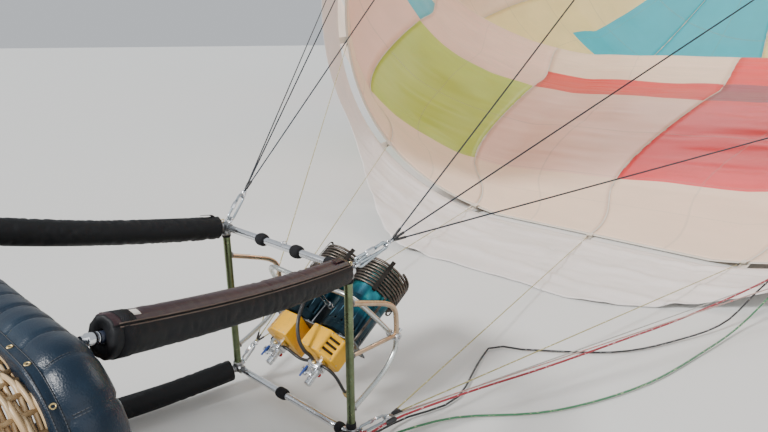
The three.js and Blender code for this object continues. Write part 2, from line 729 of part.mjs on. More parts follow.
// Burner base: the swivel's post, a web and the plate under both burners
const block = (x0, x1, y0, y1, z0, z1) => new THREE.BoxGeometry(x1 - x0, y1 - y0, z1 - z0)
  .translate((x0 + x1) / 2, (y0 + y1) / 2, (z0 + z1) / 2);
const swivelLean = radians(YOKE_LEAN_DEG - BURNER_TILT_DEG);
const onPost = (height) => V(0, -height * Math.sin(swivelLean), height * Math.cos(swivelLean));
const plateBack = BOX_FRONT + GAP;
const plateFront = CAN_BACK - GAP;
const postTop = YOKE_HEIGHT - 18;
add("burner_base", join(
  bar(onPost(postTop - 20), onPost(YOKE_HEIGHT + 22), SWIVEL_PIN_R),
  bar(onPost(YOKE_HEIGHT + 18), onPost(YOKE_HEIGHT + 26), SWIVEL_POST_R + 1),
  bar(onPost(-30), onPost(postTop), SWIVEL_POST_R),
  block(-4, 4, plateBack, -2, -BASE_HALF_HEIGHT, BASE_HALF_HEIGHT),
  block(-BASE_HALF_WIDTH, BASE_HALF_WIDTH, plateBack, plateFront, -BASE_HALF_HEIGHT, BASE_HALF_HEIGHT),
), 0x6f7378, 0.4, 0.8, burners);

// A prism along Y from an outline in X and Z
function prism(outline, y0, y1, hole) {
  const shape = new THREE.Shape(outline.map(([x, z]) => new THREE.Vector2(x, z)));
  if (hole) shape.holes.push(new THREE.Path(hole.map(([x, z]) => new THREE.Vector2(x, z))));
  const geometry = new THREE.ExtrudeGeometry(shape, { depth: y1 - y0, bevelEnabled: false });
  return geometry.rotateX(Math.PI / 2).translate(0, y1, 0);
}

// One burner: can, coil, pilot box with three cooling slots, and blast valve
const BOX_OUTLINE = [
  // toward the outside, height
  [-80, 90], [20, 90], [85, 40], [85, -38], [20, -90], [-80, -90],
];
const SLOT = { length: 54, width: 13, depth: 12, spacing: 26 };
const COIL_STEPS = 8;

function burnerCan() {
  const floor = CAN_BACK + CAN_FLOOR;
  const profile = [
    [0, CAN_BACK], [CAN_R, CAN_BACK], [CAN_R, CAN_FRONT],
    [CAN_R - CAN_WALL, CAN_FRONT], [CAN_R - CAN_WALL, floor], [0, floor],
  ];
  return facingOut(new THREE.LatheGeometry(profile.map(([r, y]) => new THREE.Vector2(r, y)), 24));
}

function burnerCoil(side) {
  const leg = radians(side > 0 ? 18 : 162);
  const onCircle = (angle, y) => V(COIL_R * Math.cos(angle), y, COIL_R * Math.sin(angle));
  const points = [onCircle(leg, CAN_BACK + 0.2), onCircle(leg, 0), onCircle(leg, COIL_BACK - 14)];
  for (let i = 1; i <= COIL_TURNS * COIL_STEPS; i++) {
    const angle = leg + (side * 2 * Math.PI * i) / COIL_STEPS;
    points.push(onCircle(angle, COIL_BACK + (COIL_PITCH * i) / COIL_STEPS));
  }
  return tube(points, COIL_TUBE_R, points.length, 6);
}

function burnerBox(side) {
  const outline = BOX_OUTLINE.map(([out, up]) => [side * out, up]);
  const box = facingOut(prism(side > 0 ? outline : outline.reverse(), BOX_BACK, BOX_FRONT));
  const [, [topX, topZ], [sideX, sideZ]] = BOX_OUTLINE;
  const slots = [-1, 0, 1].map((step) => {
    const slot = new THREE.BoxGeometry(SLOT.length, SLOT.width, SLOT.depth);
    slot.rotateY(side * Math.atan2(topZ - sideZ, sideX - topX));
    const along = (BOX_BACK + BOX_FRONT) / 2 + step * SLOT.spacing;
    return slot.translate((side * (topX + sideX)) / 2, along, (topZ + sideZ) / 2);
  });
  return cut(box, ...slots);
}

function blastValve() {
  return join(
    block(-32, 32, -276, BOX_BACK - GAP, -30, 28),
    bar(V(8, VALVE_BACK, -14), V(8, -270, -14), 17),
    bar(V(-18, VALVE_BACK + 24, 14), V(-18, -270, 14), 11),
    block(-40, 24, -318, -296, 10, 24),
  );
}

for (const [name, side] of [["near", 1], ["far", -1]]) {
  const pieces = [
    ["burner_can", burnerCan(), 0x1f7f88, 0.3, 0.7],
    ["burner_coil", burnerCoil(side), 0x3a332c, 0.6, 0.5],
    ["burner_box", burnerBox(side), 0xe0a51c, 0.45, 0.1],
    ["blast_valve", blastValve(), 0xc8ced4, 0.15, 1],
  ];
  for (const [piece, geometry, color, roughness, metalness] of pieces) {
    const placed = geometry.translate(side * BURNER_HALF_SPACING, 0, 0);
    add(`${piece}_${name}`, placed, color, roughness, metalness, burners);
  }
}

// Hoses that move with the burners: from the near valve up to the post, and between the valves
const RISER = [
  [112, -257, 28.3], [112, -257, 62], [105, -261, 104], [84, -242, 150], [52, -186, 188],
  [20, -100, 202], [0, -62, 202], [0, -32.4, 202],
];
const CROSSOVER = [
  [-93.4, -256, -5], [-82, -256, -5], [-60, -257, -11], [-30, -259, -25], [0, -260, -31],
  [30, -259, -25], [60, -257, -11], [82, -256, -5], [93.4, -256, -5],
];
const points = (list) => list.map(([x, y, z]) => V(x, y, z));
add("hose_riser", tube(points(RISER), HOSE_R, 18, 8), 0x17181a, 0.7, 0, burners);
add("hose_crossover", tube(points(CROSSOVER), HOSE_R - 1, 14, 8), 0x17181a, 0.7, 0, burners);

// The feed hose hangs from the side of the near valve and ends in a coupling
const FEED = [
  [158.6, -256, 4], [170, -256, 4], [193, -257, -2], [213, -259, -22], [222, -262, -52],
  [224, -266, -98], [224, -269, -140],
];
const feed = points(FEED);
const feedEnd = feed.at(-1);
const feedWay = feedEnd.clone().sub(feed.at(-2)).normalize();
const onFeed = (ahead) => feedEnd.clone().addScaledVector(feedWay, ahead);
add("hose_feed", tube(feed, HOSE_R - 1, 14, 8), 0x17181a, 0.7, 0, burners);
const coupling = join(
  bar(onFeed(GAP), onFeed(22), COUPLING_R, 8),
  bar(onFeed(20), onFeed(33), COUPLING_R - 3, 8),
);
add("hose_coupling", coupling, 0xb08d3c, 0.35, 0.9, burners);

// Control lines from the pegs: one through the air, two over the ground, all to the mouth
const LINES = [
  ["line_red", 0xb3262a, [
    [473, 160, 130], [626, 470, 158], [809, 839, 174], [1012, 1232, 212], [1217, 1628, 257],
    [1485, 2146, 358], [1750, 2700, 505],
  ]],
  ["line_green", 0x1f9a5c, [
    [445, 160, 34], [500, 330, 14], [600, 490, 9], [894, 791, 9], [1147, 1264, 9],
    [1311, 1820, 12], [1410, 2200, 40], [1540, 2560, 200], [1720, 2860, 400],
  ]],
  ["line_black", 0x1c1d20, [
    [392, 150, 32], [405, 300, 13], [502, 568, 9], [430, 890, 9], [400, 1100, 9], [552, 1183, 9],
    [935, 1471, 9], [1162, 1818, 12], [1330, 2160, 40], [1440, 2480, 170], [1600, 2820, 340],
  ]],
];
LINES.forEach(([name, color, route], i) => {
  const peg = linePegs[i];
  const out = peg.clone().sub(corners[0].place).normalize();
  const start = peg.clone().addScaledVector(out, GAP);
  const next = peg.clone().addScaledVector(out, 3 * LINE_R);
  const end = lineEnds[i];
  const before = end.clone().addScaledVector(corners[0].wireStart.clone().sub(end).normalize(), 60);
  const path = [start, next, ...points(route), before, end];
  add(name, tube(path, LINE_R, 26, 8), color, 0.8, 0);
});

// Basket, lying on its long side: rim, wicker wall, base band, floor with runners
const basketRect = (inset) =>
  roundedRect(BASKET_HALF_X - inset, BASKET_HALF_Z - inset, BASKET_CORNER_R - inset, 5)
    .map(([x, z]) => [x, z + BASKET_HALF_Z]);
const wallInner = WALL_INSET + WALL_THICKNESS;
const basketBack = BASKET_RIM_Y - BASKET_DEPTH;
const flankBack = rimRollY - RIM_FLANK;
const floorBack = basketBack + RUNNER_HEIGHT;
const bandFront = floorBack + BASE_BAND;
const inside = basketRect(wallInner).reverse();
const rimLine = basketRect(RIM_ROLL_R).map(([x, z]) => V(x, rimRollY, z));
const rimRoll = loop(rimLine, V(0, 1, 0), RIM_ROLL_R, 10);
const flankInside = basketRect(wallInner + FLANK_LAP).reverse();
const flankOutline = basketRect(WALL_INSET - FLANK_LAP);
const flank = facingOut(prism(flankOutline, flankBack, rimRollY, flankInside));
add("basket_rim", join(rimRoll, flank), 0x141a2c, 0.45, 0);
const wall = prism(basketRect(WALL_INSET), bandFront + GAP, flankBack - GAP, inside);
add("basket_wall", wall, 0xc79a5f, 0.8, 0);
add("basket_base_band", prism(basketRect(0), floorBack, bandFront, inside), 0x141a2c, 0.5, 0);
const floorParts = [prism(basketRect(wallInner + GAP), floorBack, floorBack + FLOOR_THICKNESS)];
for (const step of [-1, 0, 1]) {
  const z = BASKET_HALF_Z + step * RUNNER_SPACING;
  const [half, rib] = [RUNNER_LENGTH / 2, RUNNER_WIDTH / 2];
  floorParts.push(block(-half, half, basketBack, floorBack - GAP, z - rib, z + rib));
  floorParts.push(block(80 - half, half - 80, floorBack - 10, floorBack + 5, z - rib + 10, z + rib - 10));
}
add("basket_floor", join(...floorParts), 0x8a6a43, 0.7, 0);

// Two fuel cylinders standing on the floor in the corners of the lower wall
const cylinderProfile = [
  [0, 0], [CYLINDER_R - 20, 0], [CYLINDER_R, 30], [CYLINDER_R, CYLINDER_HEIGHT - 190],
  [CYLINDER_R - 45, CYLINDER_HEIGHT - 120], [CYLINDER_R - 45, CYLINDER_HEIGHT - 30],
  [CYLINDER_R - 52, CYLINDER_HEIGHT - 30], [CYLINDER_R - 52, CYLINDER_HEIGHT - 110],
  [30, CYLINDER_HEIGHT - 100], [30, CYLINDER_HEIGHT - 50], [0, CYLINDER_HEIGHT - 50],
].map(([r, y]) => new THREE.Vector2(r, y));
for (const [name, side] of [["near", 1], ["far", -1]]) {
  const cylinder = facingOut(new THREE.LatheGeometry(cylinderProfile, 16));
  const x = side * (BASKET_HALF_X - wallInner - CYLINDER_R - GAP);
  const z = wallInner + CYLINDER_R + GAP;
  const placed = cylinder.translate(x, floorBack + FLOOR_THICKNESS + GAP, z);
  add(`fuel_cylinder_${name}`, placed, 0xb8bcc0, 0.35, 0.8);
}

// The origin goes to the ground under the middle of the whole
const extent = new THREE.Box3().setFromObject(balloon, true);
const middle = extent.getCenter(V(0, 0, 0)).setZ(extent.min.z);
balloon.children.forEach((child) => child.position.sub(middle));

export default balloon;
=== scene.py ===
# A hot air balloon laid out for cold inflation. Metres, in the CAD frame.
import math

import bpy
import numpy as np
from mathutils import Matrix, Vector


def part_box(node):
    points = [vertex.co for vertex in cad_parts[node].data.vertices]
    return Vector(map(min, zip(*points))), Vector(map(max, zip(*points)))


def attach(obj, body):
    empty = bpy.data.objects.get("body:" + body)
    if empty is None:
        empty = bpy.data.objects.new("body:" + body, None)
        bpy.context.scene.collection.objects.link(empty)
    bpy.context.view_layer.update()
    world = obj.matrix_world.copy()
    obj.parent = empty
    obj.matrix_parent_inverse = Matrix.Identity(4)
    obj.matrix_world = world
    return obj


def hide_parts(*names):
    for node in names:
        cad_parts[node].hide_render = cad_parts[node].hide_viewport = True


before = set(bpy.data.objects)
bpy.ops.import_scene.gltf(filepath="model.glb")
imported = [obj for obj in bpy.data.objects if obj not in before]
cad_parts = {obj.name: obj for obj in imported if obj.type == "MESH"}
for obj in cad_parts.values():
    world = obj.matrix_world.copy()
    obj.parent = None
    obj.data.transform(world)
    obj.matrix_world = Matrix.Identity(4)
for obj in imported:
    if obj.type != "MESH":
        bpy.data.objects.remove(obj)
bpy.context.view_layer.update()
scene = bpy.context.scene
bpy.ops.object.select_all(action="DESELECT")

# Camera and studio: it stands beside the basket and looks down over the load frame at the mouth.
# The drawing's own zero is on the ground under the middle of the load frame's rails. Its posts
# stand FRAME_X mm to each side of it, between the rails' heights.
FRAME_X, FRAME_FOOT, FRAME_TOP = 375, 100, 817
SIDES = (("near", 1), ("far", -1))
rail_low, rail_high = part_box("top_rail")
zero = Vector(((rail_low.x + rail_high.x) / 2, (rail_low.y + rail_high.y) / 2, 0))


def at(x, y, z):
    """A place given in the drawing's millimetres."""
    return zero + Vector((x, y, z)) / 1000


# The photo's width and its focal length, both in pixels
SENSOR, PHOTO_WIDTH, FOCAL = 36, 768, 555
EYE, LOOKS_DOWN, TURNED_LEFT = (1670, -1340, 1610), 17.6, 40
lens = bpy.data.cameras.new("camera")
lens.sensor_width = SENSOR
lens.lens = SENSOR * FOCAL / PHOTO_WIDTH
lens.clip_end = 400
camera = bpy.data.objects.new("camera", lens)
camera.location = at(*EYE)
camera.rotation_euler = (math.radians(90 - LOOKS_DOWN), 0, math.radians(TURNED_LEFT))
scene.collection.objects.link(camera)
scene.camera = camera

bpy.ops.mesh.primitive_plane_add(size=260, location=(0, 0, -0.004))
floor = bpy.context.object
floor.name = "floor"
pale = bpy.data.materials.new("studio_floor")
pale.use_nodes = True
pale_inputs = pale.node_tree.nodes["Principled BSDF"].inputs
pale_inputs["Base Color"].default_value = (0.66, 0.66, 0.64, 1)
pale_inputs["Roughness"].default_value = 0.85
floor.data.materials.append(pale)

sky = bpy.data.worlds.new("studio")
sky.use_nodes = True
sky_inputs = sky.node_tree.nodes["Background"].inputs
sky_inputs["Color"].default_value = (0.86, 0.9, 0.95, 1)
sky_inputs["Strength"].default_value = 0.68
scene.world = sky
for name, strength, spread, turn in [
    ("key", 4.0, 12, (52, 0, -22)),
    ("fill", 0.8, 60, (60, 0, 60)),
]:
    lamp = bpy.data.lights.new(name, "SUN")
    lamp.energy = strength
    lamp.angle = math.radians(spread)
    light = bpy.data.objects.new(name, lamp)
    light.rotation_euler = [math.radians(t) for t in turn]
    scene.collection.objects.link(light)

# Two wide soft lamps inside the envelope give the light that thin cloth lets through from above
for name, power, size, place, aim in [
    ("through_cloth", 400, 4.6, (0, 10000, 7500), (-12, 0, 0)),
    ("through_crown", 620, 6, (-300, 13500, 8200), (30, 0, 0)),
]:
    lamp = bpy.data.lights.new(name, "AREA")
    lamp.energy = power
    lamp.size = size
    light = bpy.data.objects.new(name, lamp)
    light.location = at(*place)
    light.rotation_euler = [math.radians(t) for t in aim]
    light.visible_camera = False
    scene.collection.objects.link(light)


# Hoses of the burners: black fuel hose with a smooth rubber jacket.
# They turn with the burners, so they ride on them, and the feed ends in its brass coupling.
def walked_of(path):
    """How far it is along a path to each of its places."""
    return np.concatenate([[0], np.cumsum(np.linalg.norm(np.diff(path, axis=0), axis=1))])


def spaced(points, count):
    """The smooth curve through these points, as places at equal steps along it."""
    p = np.array([points[0] * 2 - points[1], *points, points[-1] * 2 - points[-2]], float)
    t = np.linspace(0, 1, 24, endpoint=False)[:, None]
    runs = []
    for a, b, c, d in zip(p, p[1:], p[2:], p[3:]):
        runs.append(0.5 * (2 * b + (c - a) * t + (2 * a - 5 * b + 4 * c - d) * t**2
                           + (3 * b - a - 3 * c + d) * t**3))
    line = np.concatenate([*runs, p[-2:-1]])
    walked = walked_of(line)
    steps = np.linspace(0, walked[-1], count)
    return np.stack([np.interp(steps, walked, line[:, i]) for i in range(3)], 1)


def length_of(path):
    """A path's length in metres."""
    return float(np.linalg.norm(np.diff(path, axis=0), axis=1).sum())


def unit(ways):
    """These directions, each at length one."""
    return ways / np.linalg.norm(ways, axis=-1, keepdims=True)


def circle(count):
    """Equal steps once round, in radians."""
    return np.linspace(0, 2 * math.pi, count, endpoint=False)


def new_piece(name, places, faces, spots, smooth, body="base", material=None):
    """A piece from its places and faces, with a UV spot for each corner of each face."""
    mesh = bpy.data.meshes.new(name)
    mesh.from_pydata(np.reshape(places, (-1, 3)).tolist(), [], [[int(v) for v in f] for f in faces])
    mesh.uv_layers.new(name="UVMap").data.foreach_set("uv", np.array(spots, np.float32).ravel())
    mesh.polygons.foreach_set("use_smooth", np.broadcast_to(smooth, len(faces)).tolist())
    mesh.update()
    if material:
        mesh.materials.append(material)
    piece = bpy.data.objects.new(name, mesh)
    scene.collection.objects.link(piece)
    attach(piece, body)
    return piece


def sweep(name, path, radius, sides, material, body="base"):
    """A round piece along a path, capped, with a UV map in metres round and along it."""
    path = np.asarray(path, float)
    radii = np.broadcast_to(np.asarray(radius, float), (len(path),))
    along = unit(np.gradient(path, axis=0))
    side = np.cross(along[0], (0, 0, 1) if abs(along[0][2]) < 0.9 else (1, 0, 0))
    rows, walked, turn = [], walked_of(path), circle(sides)
    for place, way, r in zip(path, along, radii):
        side = unit(side - way * (side @ way))
        other = np.cross(way, side)
        rows.append(place + r * (np.cos(turn)[:, None] * side + np.sin(turn)[:, None] * other))
    count = len(path)
    faces, spots = [], []
    for i in range(count - 1):
        girth = 2 * math.pi * radii[i] / sides
        for j in range(sides):
            k = (j + 1) % sides
            faces.append((i * sides + j, i * sides + k, (i + 1) * sides + k, (i + 1) * sides + j))
            spots += [(j * girth, walked[i]), ((j + 1) * girth, walked[i]),
                      ((j + 1) * girth, walked[i + 1]), (j * girth, walked[i + 1])]
    for ring, order in ((0, -1), (count - 1, 1)):
        faces.append(tuple(ring * sides + j for j in range(sides))[::order])
        spots += [(0, walked[ring])] * sides
    return new_piece(name, rows, faces, spots, [len(f) == 4 for f in faces], body, material)


def feed(tree, socket, value):
    """Gives a socket a plain value, or a link where the value is another socket."""
    if isinstance(value, bpy.types.NodeSocket):
        tree.links.new(value, socket)
    else:
        socket.default_value = value


def node(tree, kind, settings=None, **sockets):
    """Adds a shader node, with these settings, and feeds its sockets by their names."""
    made = tree.nodes.new("ShaderNode" + kind)
    for key, value in (settings or {}).items():
        setattr(made, key, value)
    for key, value in sockets.items():
        feed(tree, made.inputs[key.replace("_", " ")], value)
    return made


def calc(tree, operation, *values):
    """One Math node."""
    made = node(tree, "Math", {"operation": operation})
    for socket, value in zip(made.inputs, values):
        feed(tree, socket, value)
    return made.outputs[0]


def plus(tree, first, second):
    """The sum of two shader values."""
    return calc(tree, "ADD", first, second)


def times(tree, first, second):
    """The product of two shader values."""
    return calc(tree, "MULTIPLY", first, second)


def blended(tree, factor, first, second):
    """One colour Mix node."""
    made = node(tree, "Mix", {"data_type": "RGBA"})
    feed(tree, made.inputs[0], factor)
    for index, value in ((6, first), (7, second)):
        feed(tree, made.inputs[index], value if isinstance(value, bpy.types.NodeSocket) else (*value, 1))
    return made.outputs[2]


def noise(tree, vector, scale, detail=2.0, **sockets):
    """One Noise texture."""
    return node(tree, "TexNoise", Vector=vector, Scale=scale, Detail=detail, **sockets).outputs[0]


def mapped(tree, vector, scale):
    """The same vector, stretched by a scale."""
    return node(tree, "Mapping", Vector=vector, Scale=scale).outputs[0]


def ranged(tree, value, **sockets):
    """A value moved from one range into another."""
    return node(tree, "MapRange", Value=value, **sockets).outputs[0]


def uv_of(tree):
    """The UV map, in metres."""
    return node(tree, "UVMap", {"uv_map": "UVMap"}).outputs[0]


def place_of(tree):
    """The place in Object coordinates."""
    return node(tree, "TexCoord").outputs["Object"]


def finish_of(name, **values):
    """A material, its tree and its Principled shader with plain values set on its own sockets."""
    made = bpy.data.materials.new(name)
    made.use_nodes = True
    shader = made.node_tree.nodes["Principled BSDF"]
    for key, value in values.items():
        shader.inputs[key.replace("_", " ")].default_value = value
    return made, made.node_tree, shader


def dress(tree, shader, tone, rough=None, bump=None):
    """Feeds a shader its colour, roughness (value, low, high) and bump (strength, metres, height)."""
    feed(tree, shader.inputs["Base Color"], tone)
    if rough:
        feed(tree, shader.inputs["Roughness"], ranged(tree, rough[0], To_Min=rough[1], To_Max=rough[2]))
    if bump:
        raised = node(tree, "Bump", Strength=bump[0], Distance=bump[1], Height=bump[2])
        feed(tree, shader.inputs["Normal"], raised.outputs[0])


BURNER_TILT, PIVOT = 30, (0, 283, 420)
burner_turn = Matrix.Rotation(math.radians(BURNER_TILT), 3, "X")
pivot = at(*PIVOT)


def on_burners(x, y, z):
    """A place given in the burners' own millimetres, with y along their flames."""
    return pivot + burner_turn @ (Vector((x, y, z)) / 1000)


def socket_group(name, floats, outputs):
    """A shader node group with a Vector and these floats going in, and floats coming out."""
    tree = bpy.data.node_groups.new(name, "ShaderNodeTree")
    tree.interface.new_socket("Vector", in_out="INPUT", socket_type="NodeSocketVector")
    for label, value in floats.items():
        made = tree.interface.new_socket(label, in_out="INPUT", socket_type="NodeSocketFloat")
        made.default_value = value
    for label in outputs:
        tree.interface.new_socket(label, in_out="OUTPUT", socket_type="NodeSocketFloat")
    return tree, tree.nodes.new("NodeGroupInput").outputs, tree.nodes.new("NodeGroupOutput").inputs


# Handled metal: fine drawn lines, small scratches and blotches of dirt or heat
wear_group, take, give = socket_group("handled_metal", {"Size": 1.0}, ["Lines", "Stain"])
drawn = mapped(wear_group, take["Vector"], (900, 60, 900))
feed(wear_group, give["Lines"], noise(wear_group, drawn, take["Size"], 3.0))
blotch_size = times(wear_group, take["Size"], 16.0)
blotch = noise(wear_group, take["Vector"], blotch_size, 6.0, Roughness=0.65)
feed(wear_group, give["Stain"], ranged(wear_group, blotch, From_Min=0.38, From_Max=0.68))


def metal(name, color, rough=0.3, brushed=0.4, stain=None, amount=0.5, metallic=1.0, scale=1.0):
    """Metal with brushed lines and stains over Object coordinates."""
    made, tree, shader = finish_of(name, Metallic=metallic)
    worn = node(tree, "Group", {"node_tree": wear_group}, Vector=place_of(tree), Size=scale).outputs
    stained = times(tree, worn["Stain"], amount)
    dress(tree, shader, blended(tree, stained, color, stain or [c * 0.5 for c in color]),
          (worn["Stain"], rough, rough + 0.2), (brushed, 0.0006, worn["Lines"]))
    return made


brass = metal("brass", (0.80, 0.62, 0.30), 0.3, 0.2, (0.35, 0.25, 0.1))


def pick(piece):
    """Selects this piece alone and makes it the active one."""
    bpy.ops.object.select_all(action="DESELECT")
    piece.select_set(True)
    bpy.context.view_layer.objects.active = piece


def spun(name, profile, place, axis, material, sides, body="base"):
    """A turned piece: its profile of radius and height in mm is spun round an axis at a place."""
    mesh = bpy.data.meshes.new(name)
    mesh.from_pydata([(r / 1000, 0, h / 1000) for r, h in profile],
                     [(i, i + 1) for i in range(len(profile) - 1)], [])
    piece = bpy.data.objects.new(name, mesh)
    scene.collection.objects.link(piece)
    pick(piece)
    bpy.ops.object.mode_set(mode="EDIT")
    bpy.ops.mesh.select_all(action="SELECT")
    bpy.ops.mesh.spin(steps=sides, angle=2 * math.pi, center=(0, 0, 0), axis=(0, 0, 1))
    bpy.ops.mesh.select_all(action="SELECT")
    bpy.ops.mesh.remove_doubles(threshold=0.00002)
    bpy.ops.mesh.normals_make_consistent(inside=False)
    bpy.ops.object.mode_set(mode="OBJECT")
    bpy.ops.object.shade_smooth_by_angle(angle=math.radians(35))
    turn = Vector((0, 0, 1)).rotation_difference(Vector(axis)).to_matrix().to_4x4()
    mesh.transform(Matrix.Translation(Vector(place)) @ turn)
    if not mesh.uv_layers:
        mesh.uv_layers.new(name="UVMap")
    mesh.uv_layers[0].name = "UVMap"
    mesh.materials.append(material)
    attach(piece, body)
    piece.select_set(False)
    return piece


HOSES = [
    # name, radius in mm, route in the burners' millimetres
    ("hose_riser", 8, [(112, -257, 28.3), (112, -257, 62), (105, -261, 104), (84, -242, 150),
                       (52, -186, 188), (20, -100, 202), (0, -62, 202), (0, -32.4, 202)]),
    ("hose_crossover", 7, [(-93.4, -256, -5), (-82, -256, -5), (-60, -257, -11), (-30, -259, -25),
                           (0, -260, -31), (30, -259, -25), (60, -257, -11), (82, -256, -5),
                           (93.4, -256, -5)]),
    ("hose_feed", 7, [(158.6, -256, 4), (170, -256, 4), (193, -257, -2), (213, -259, -22),
                      (222, -262, -52), (224, -266, -98), (224, -269, -140)]),
]
rubber, tree, shader = finish_of("hose_rubber", Roughness=0.42, Coat_Weight=0.15, Coat_Roughness=0.4)
uv = uv_of(tree)
dust = noise(tree, uv, 40.0, 5.0)
wrap = node(tree, "TexChecker", Vector=mapped(tree, uv, (60, 330, 1)), Scale=1.0).outputs[1]
dress(tree, shader, blended(tree, dust, (0.012, 0.012, 0.013), (0.035, 0.034, 0.032)), None,
      (0.25, 0.001, wrap))
for name, radius, route in HOSES:
    path = spaced([on_burners(*p) for p in route], 36)
    hose = sweep("rubber_" + name, path, radius / 1000, 16, rubber, "burners")
    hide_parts(name)
    ends = dict(far_end="connector", with_pieces=["hose_coupling"]) if name == "hose_feed" else dict(
        far_end="object")

# Control lines: braided polyester rope, 10 mm, red for the vent, green and black for the turning
# vents. Each is tied to a peg on the near low corner and runs to a tab on the mouth tape.
LINES = [
    ("line_red", [(427.1, 40.3, 101.9), (438.7, 49.3, 102.3), (473, 160, 130), (626, 470, 158),
                  (809, 839, 174), (1012, 1232, 212), (1217, 1628, 257), (1485, 2146, 358),
                  (1750, 2700, 505), (2077.3, 3037.1, 462.2), (2107.2, 3088.7, 468.7)]),
    ("line_green", [(416.9, 40.9, 61.7), (425.7, 49.5, 53.6), (445, 160, 34), (500, 330, 14),
                    (600, 490, 9), (894, 791, 9), (1147, 1264, 9), (1311, 1820, 12),
                    (1410, 2200, 40), (1540, 2560, 200), (1720, 2860, 400),
                    (1958.2, 3060.8, 367.9), (1986.3, 3113.6, 372.7)]),
    ("line_black", [(366.3, 54.1, 57.6), (364.5, 65.6, 48.7), (392, 150, 32), (405, 300, 13),
                    (502, 568, 9), (430, 890, 9), (400, 1100, 9), (552, 1183, 9), (935, 1471, 9),
                    (1162, 1818, 12), (1330, 2160, 40), (1440, 2480, 170), (1600, 2820, 340),
                    (1829.6, 3081.1, 286), (1855.8, 3135, 289.4)]),
]


def braid(name, color, fleck, radius):
    """Braided rope: two sets of strands that cross at a slant, with a fleck of a second colour and painted
    shade in the grooves between the strands.
    """
    made, tree, shader = finish_of(name, Roughness=0.72, Sheen_Weight=0.3)
    uv = uv_of(tree)
    spot = node(tree, "SeparateXYZ", Vector=uv).outputs
    turns = STRANDS / (2 * math.pi * radius)
    ways = []
    for sign in (1, -1):
        slant = times(tree, spot["Y"], sign * turns * 0.6)
        round_it = times(tree, spot["X"], turns)
        ways.append(calc(tree, "PINGPONG", plus(tree, round_it, slant), 0.5))
    plait_and_groove_shade = times(tree, times(tree, *ways), 4.0)
    flecks = times(tree, calc(tree, "GREATER_THAN", noise(tree, uv, 45.0), 0.6), 0.6)
    # The plait's grooves are painted down to a third of the colour: painted shade between the strands
    tone = blended(tree, plait_and_groove_shade, [c * 0.35 for c in color], color)
    dress(tree, shader, blended(tree, flecks, tone, fleck), None, (0.8, 0.0015, plait_and_groove_shade))
    return made


STRANDS, ROPE_R = 4, 0.005
# The hitch round each peg: how far one turn climbs and how far its rope's middle stands off the peg
HITCH_CLIMB, HITCH_REACH = 0.0102, 0.0112
ROPES = {"line_red": braid("rope_red", (0.55, 0.03, 0.05), (0.7, 0.4, 0.4), ROPE_R),
         "line_green": braid("rope_green", (0.07, 0.33, 0.14), (0.45, 0.6, 0.3), ROPE_R),
         "line_black": braid("rope_black", (0.02, 0.02, 0.024), (0.25, 0.25, 0.25), ROPE_R)}
for name, route in LINES:
    path = spaced([at(*p) for p in route], 40)
    line = sweep("rope_" + name, path, ROPE_R, 12, ROPES[name])
    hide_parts(name)
    peg_way = unit(path[0] - np.array(at(FRAME_X, 0, FRAME_FOOT)))
    beside = unit(np.cross(peg_way, (0, 0, 1)))
    above = np.cross(beside, peg_way)
    turns = []
    for t in np.linspace(0, 5 * math.pi, 60):
        middle = path[0] - peg_way * (0.004 + HITCH_CLIMB * t / (2 * math.pi))
        turns.append(middle + HITCH_REACH * (math.cos(t) * beside + math.sin(t) * above))
    hitch = sweep("hitch_" + name, turns, ROPE_R, 10, ROPES[name])

# Envelope: twelve gores of ripstop nylon, each sewn from cross panels about two metres long, cream
# with blocks of red, green, teal and plum. Half filled, so the slack lower cloth is blown up in
# ripples. A panel's cloth is 3 mm thick here and stands for a tenth of a millimetre.
# The round envelope in mm: its mouth, its cone's slope, its greatest radius and its crown's height
MOUTH_R, SLOPE, BALL_R, CROWN = 2200, math.radians(30), 7500, 5600
GORES, VENT_R = 12, 2000
CONE_END = (BALL_R * math.cos(SLOPE) - MOUTH_R) / math.tan(SLOPE)
WIDEST = CONE_END + BALL_R * math.sin(SLOPE)


def ease(t):
    """Nothing at 0, one at 1, with a soft start and end."""
    t = np.clip(t, 0, 1)
    return t * t * (3 - 2 * t)


def nominal_radius(a):
    """The round envelope's radius in mm, a mm from its mouth."""
    ball = np.sqrt(np.clip(BALL_R**2 - (a - WIDEST) ** 2, 0, None))
    end = BALL_R * np.sqrt(np.clip(1 - ((a - WIDEST) / CROWN) ** 2, 0, 1))
    cone = MOUTH_R + a * np.where(a < 0, 0.14, math.tan(SLOPE))
    return np.where(a < CONE_END, cone, np.where(a < WIDEST, ball, end))


def lying_section(key):
    """The outline of a section on the ground: across, up and the girth walked so far."""
    angle = np.linspace(0, 2 * math.pi, 481)
    up = 2 * (1 - 0.24 * key) * np.maximum(0, ((1 - np.cos(angle)) / 2) ** (1 + 0.28 * key) - 0.012 * key)
    across = np.sin(angle)
    return across, up, walked_of(np.stack([across, up], 1))


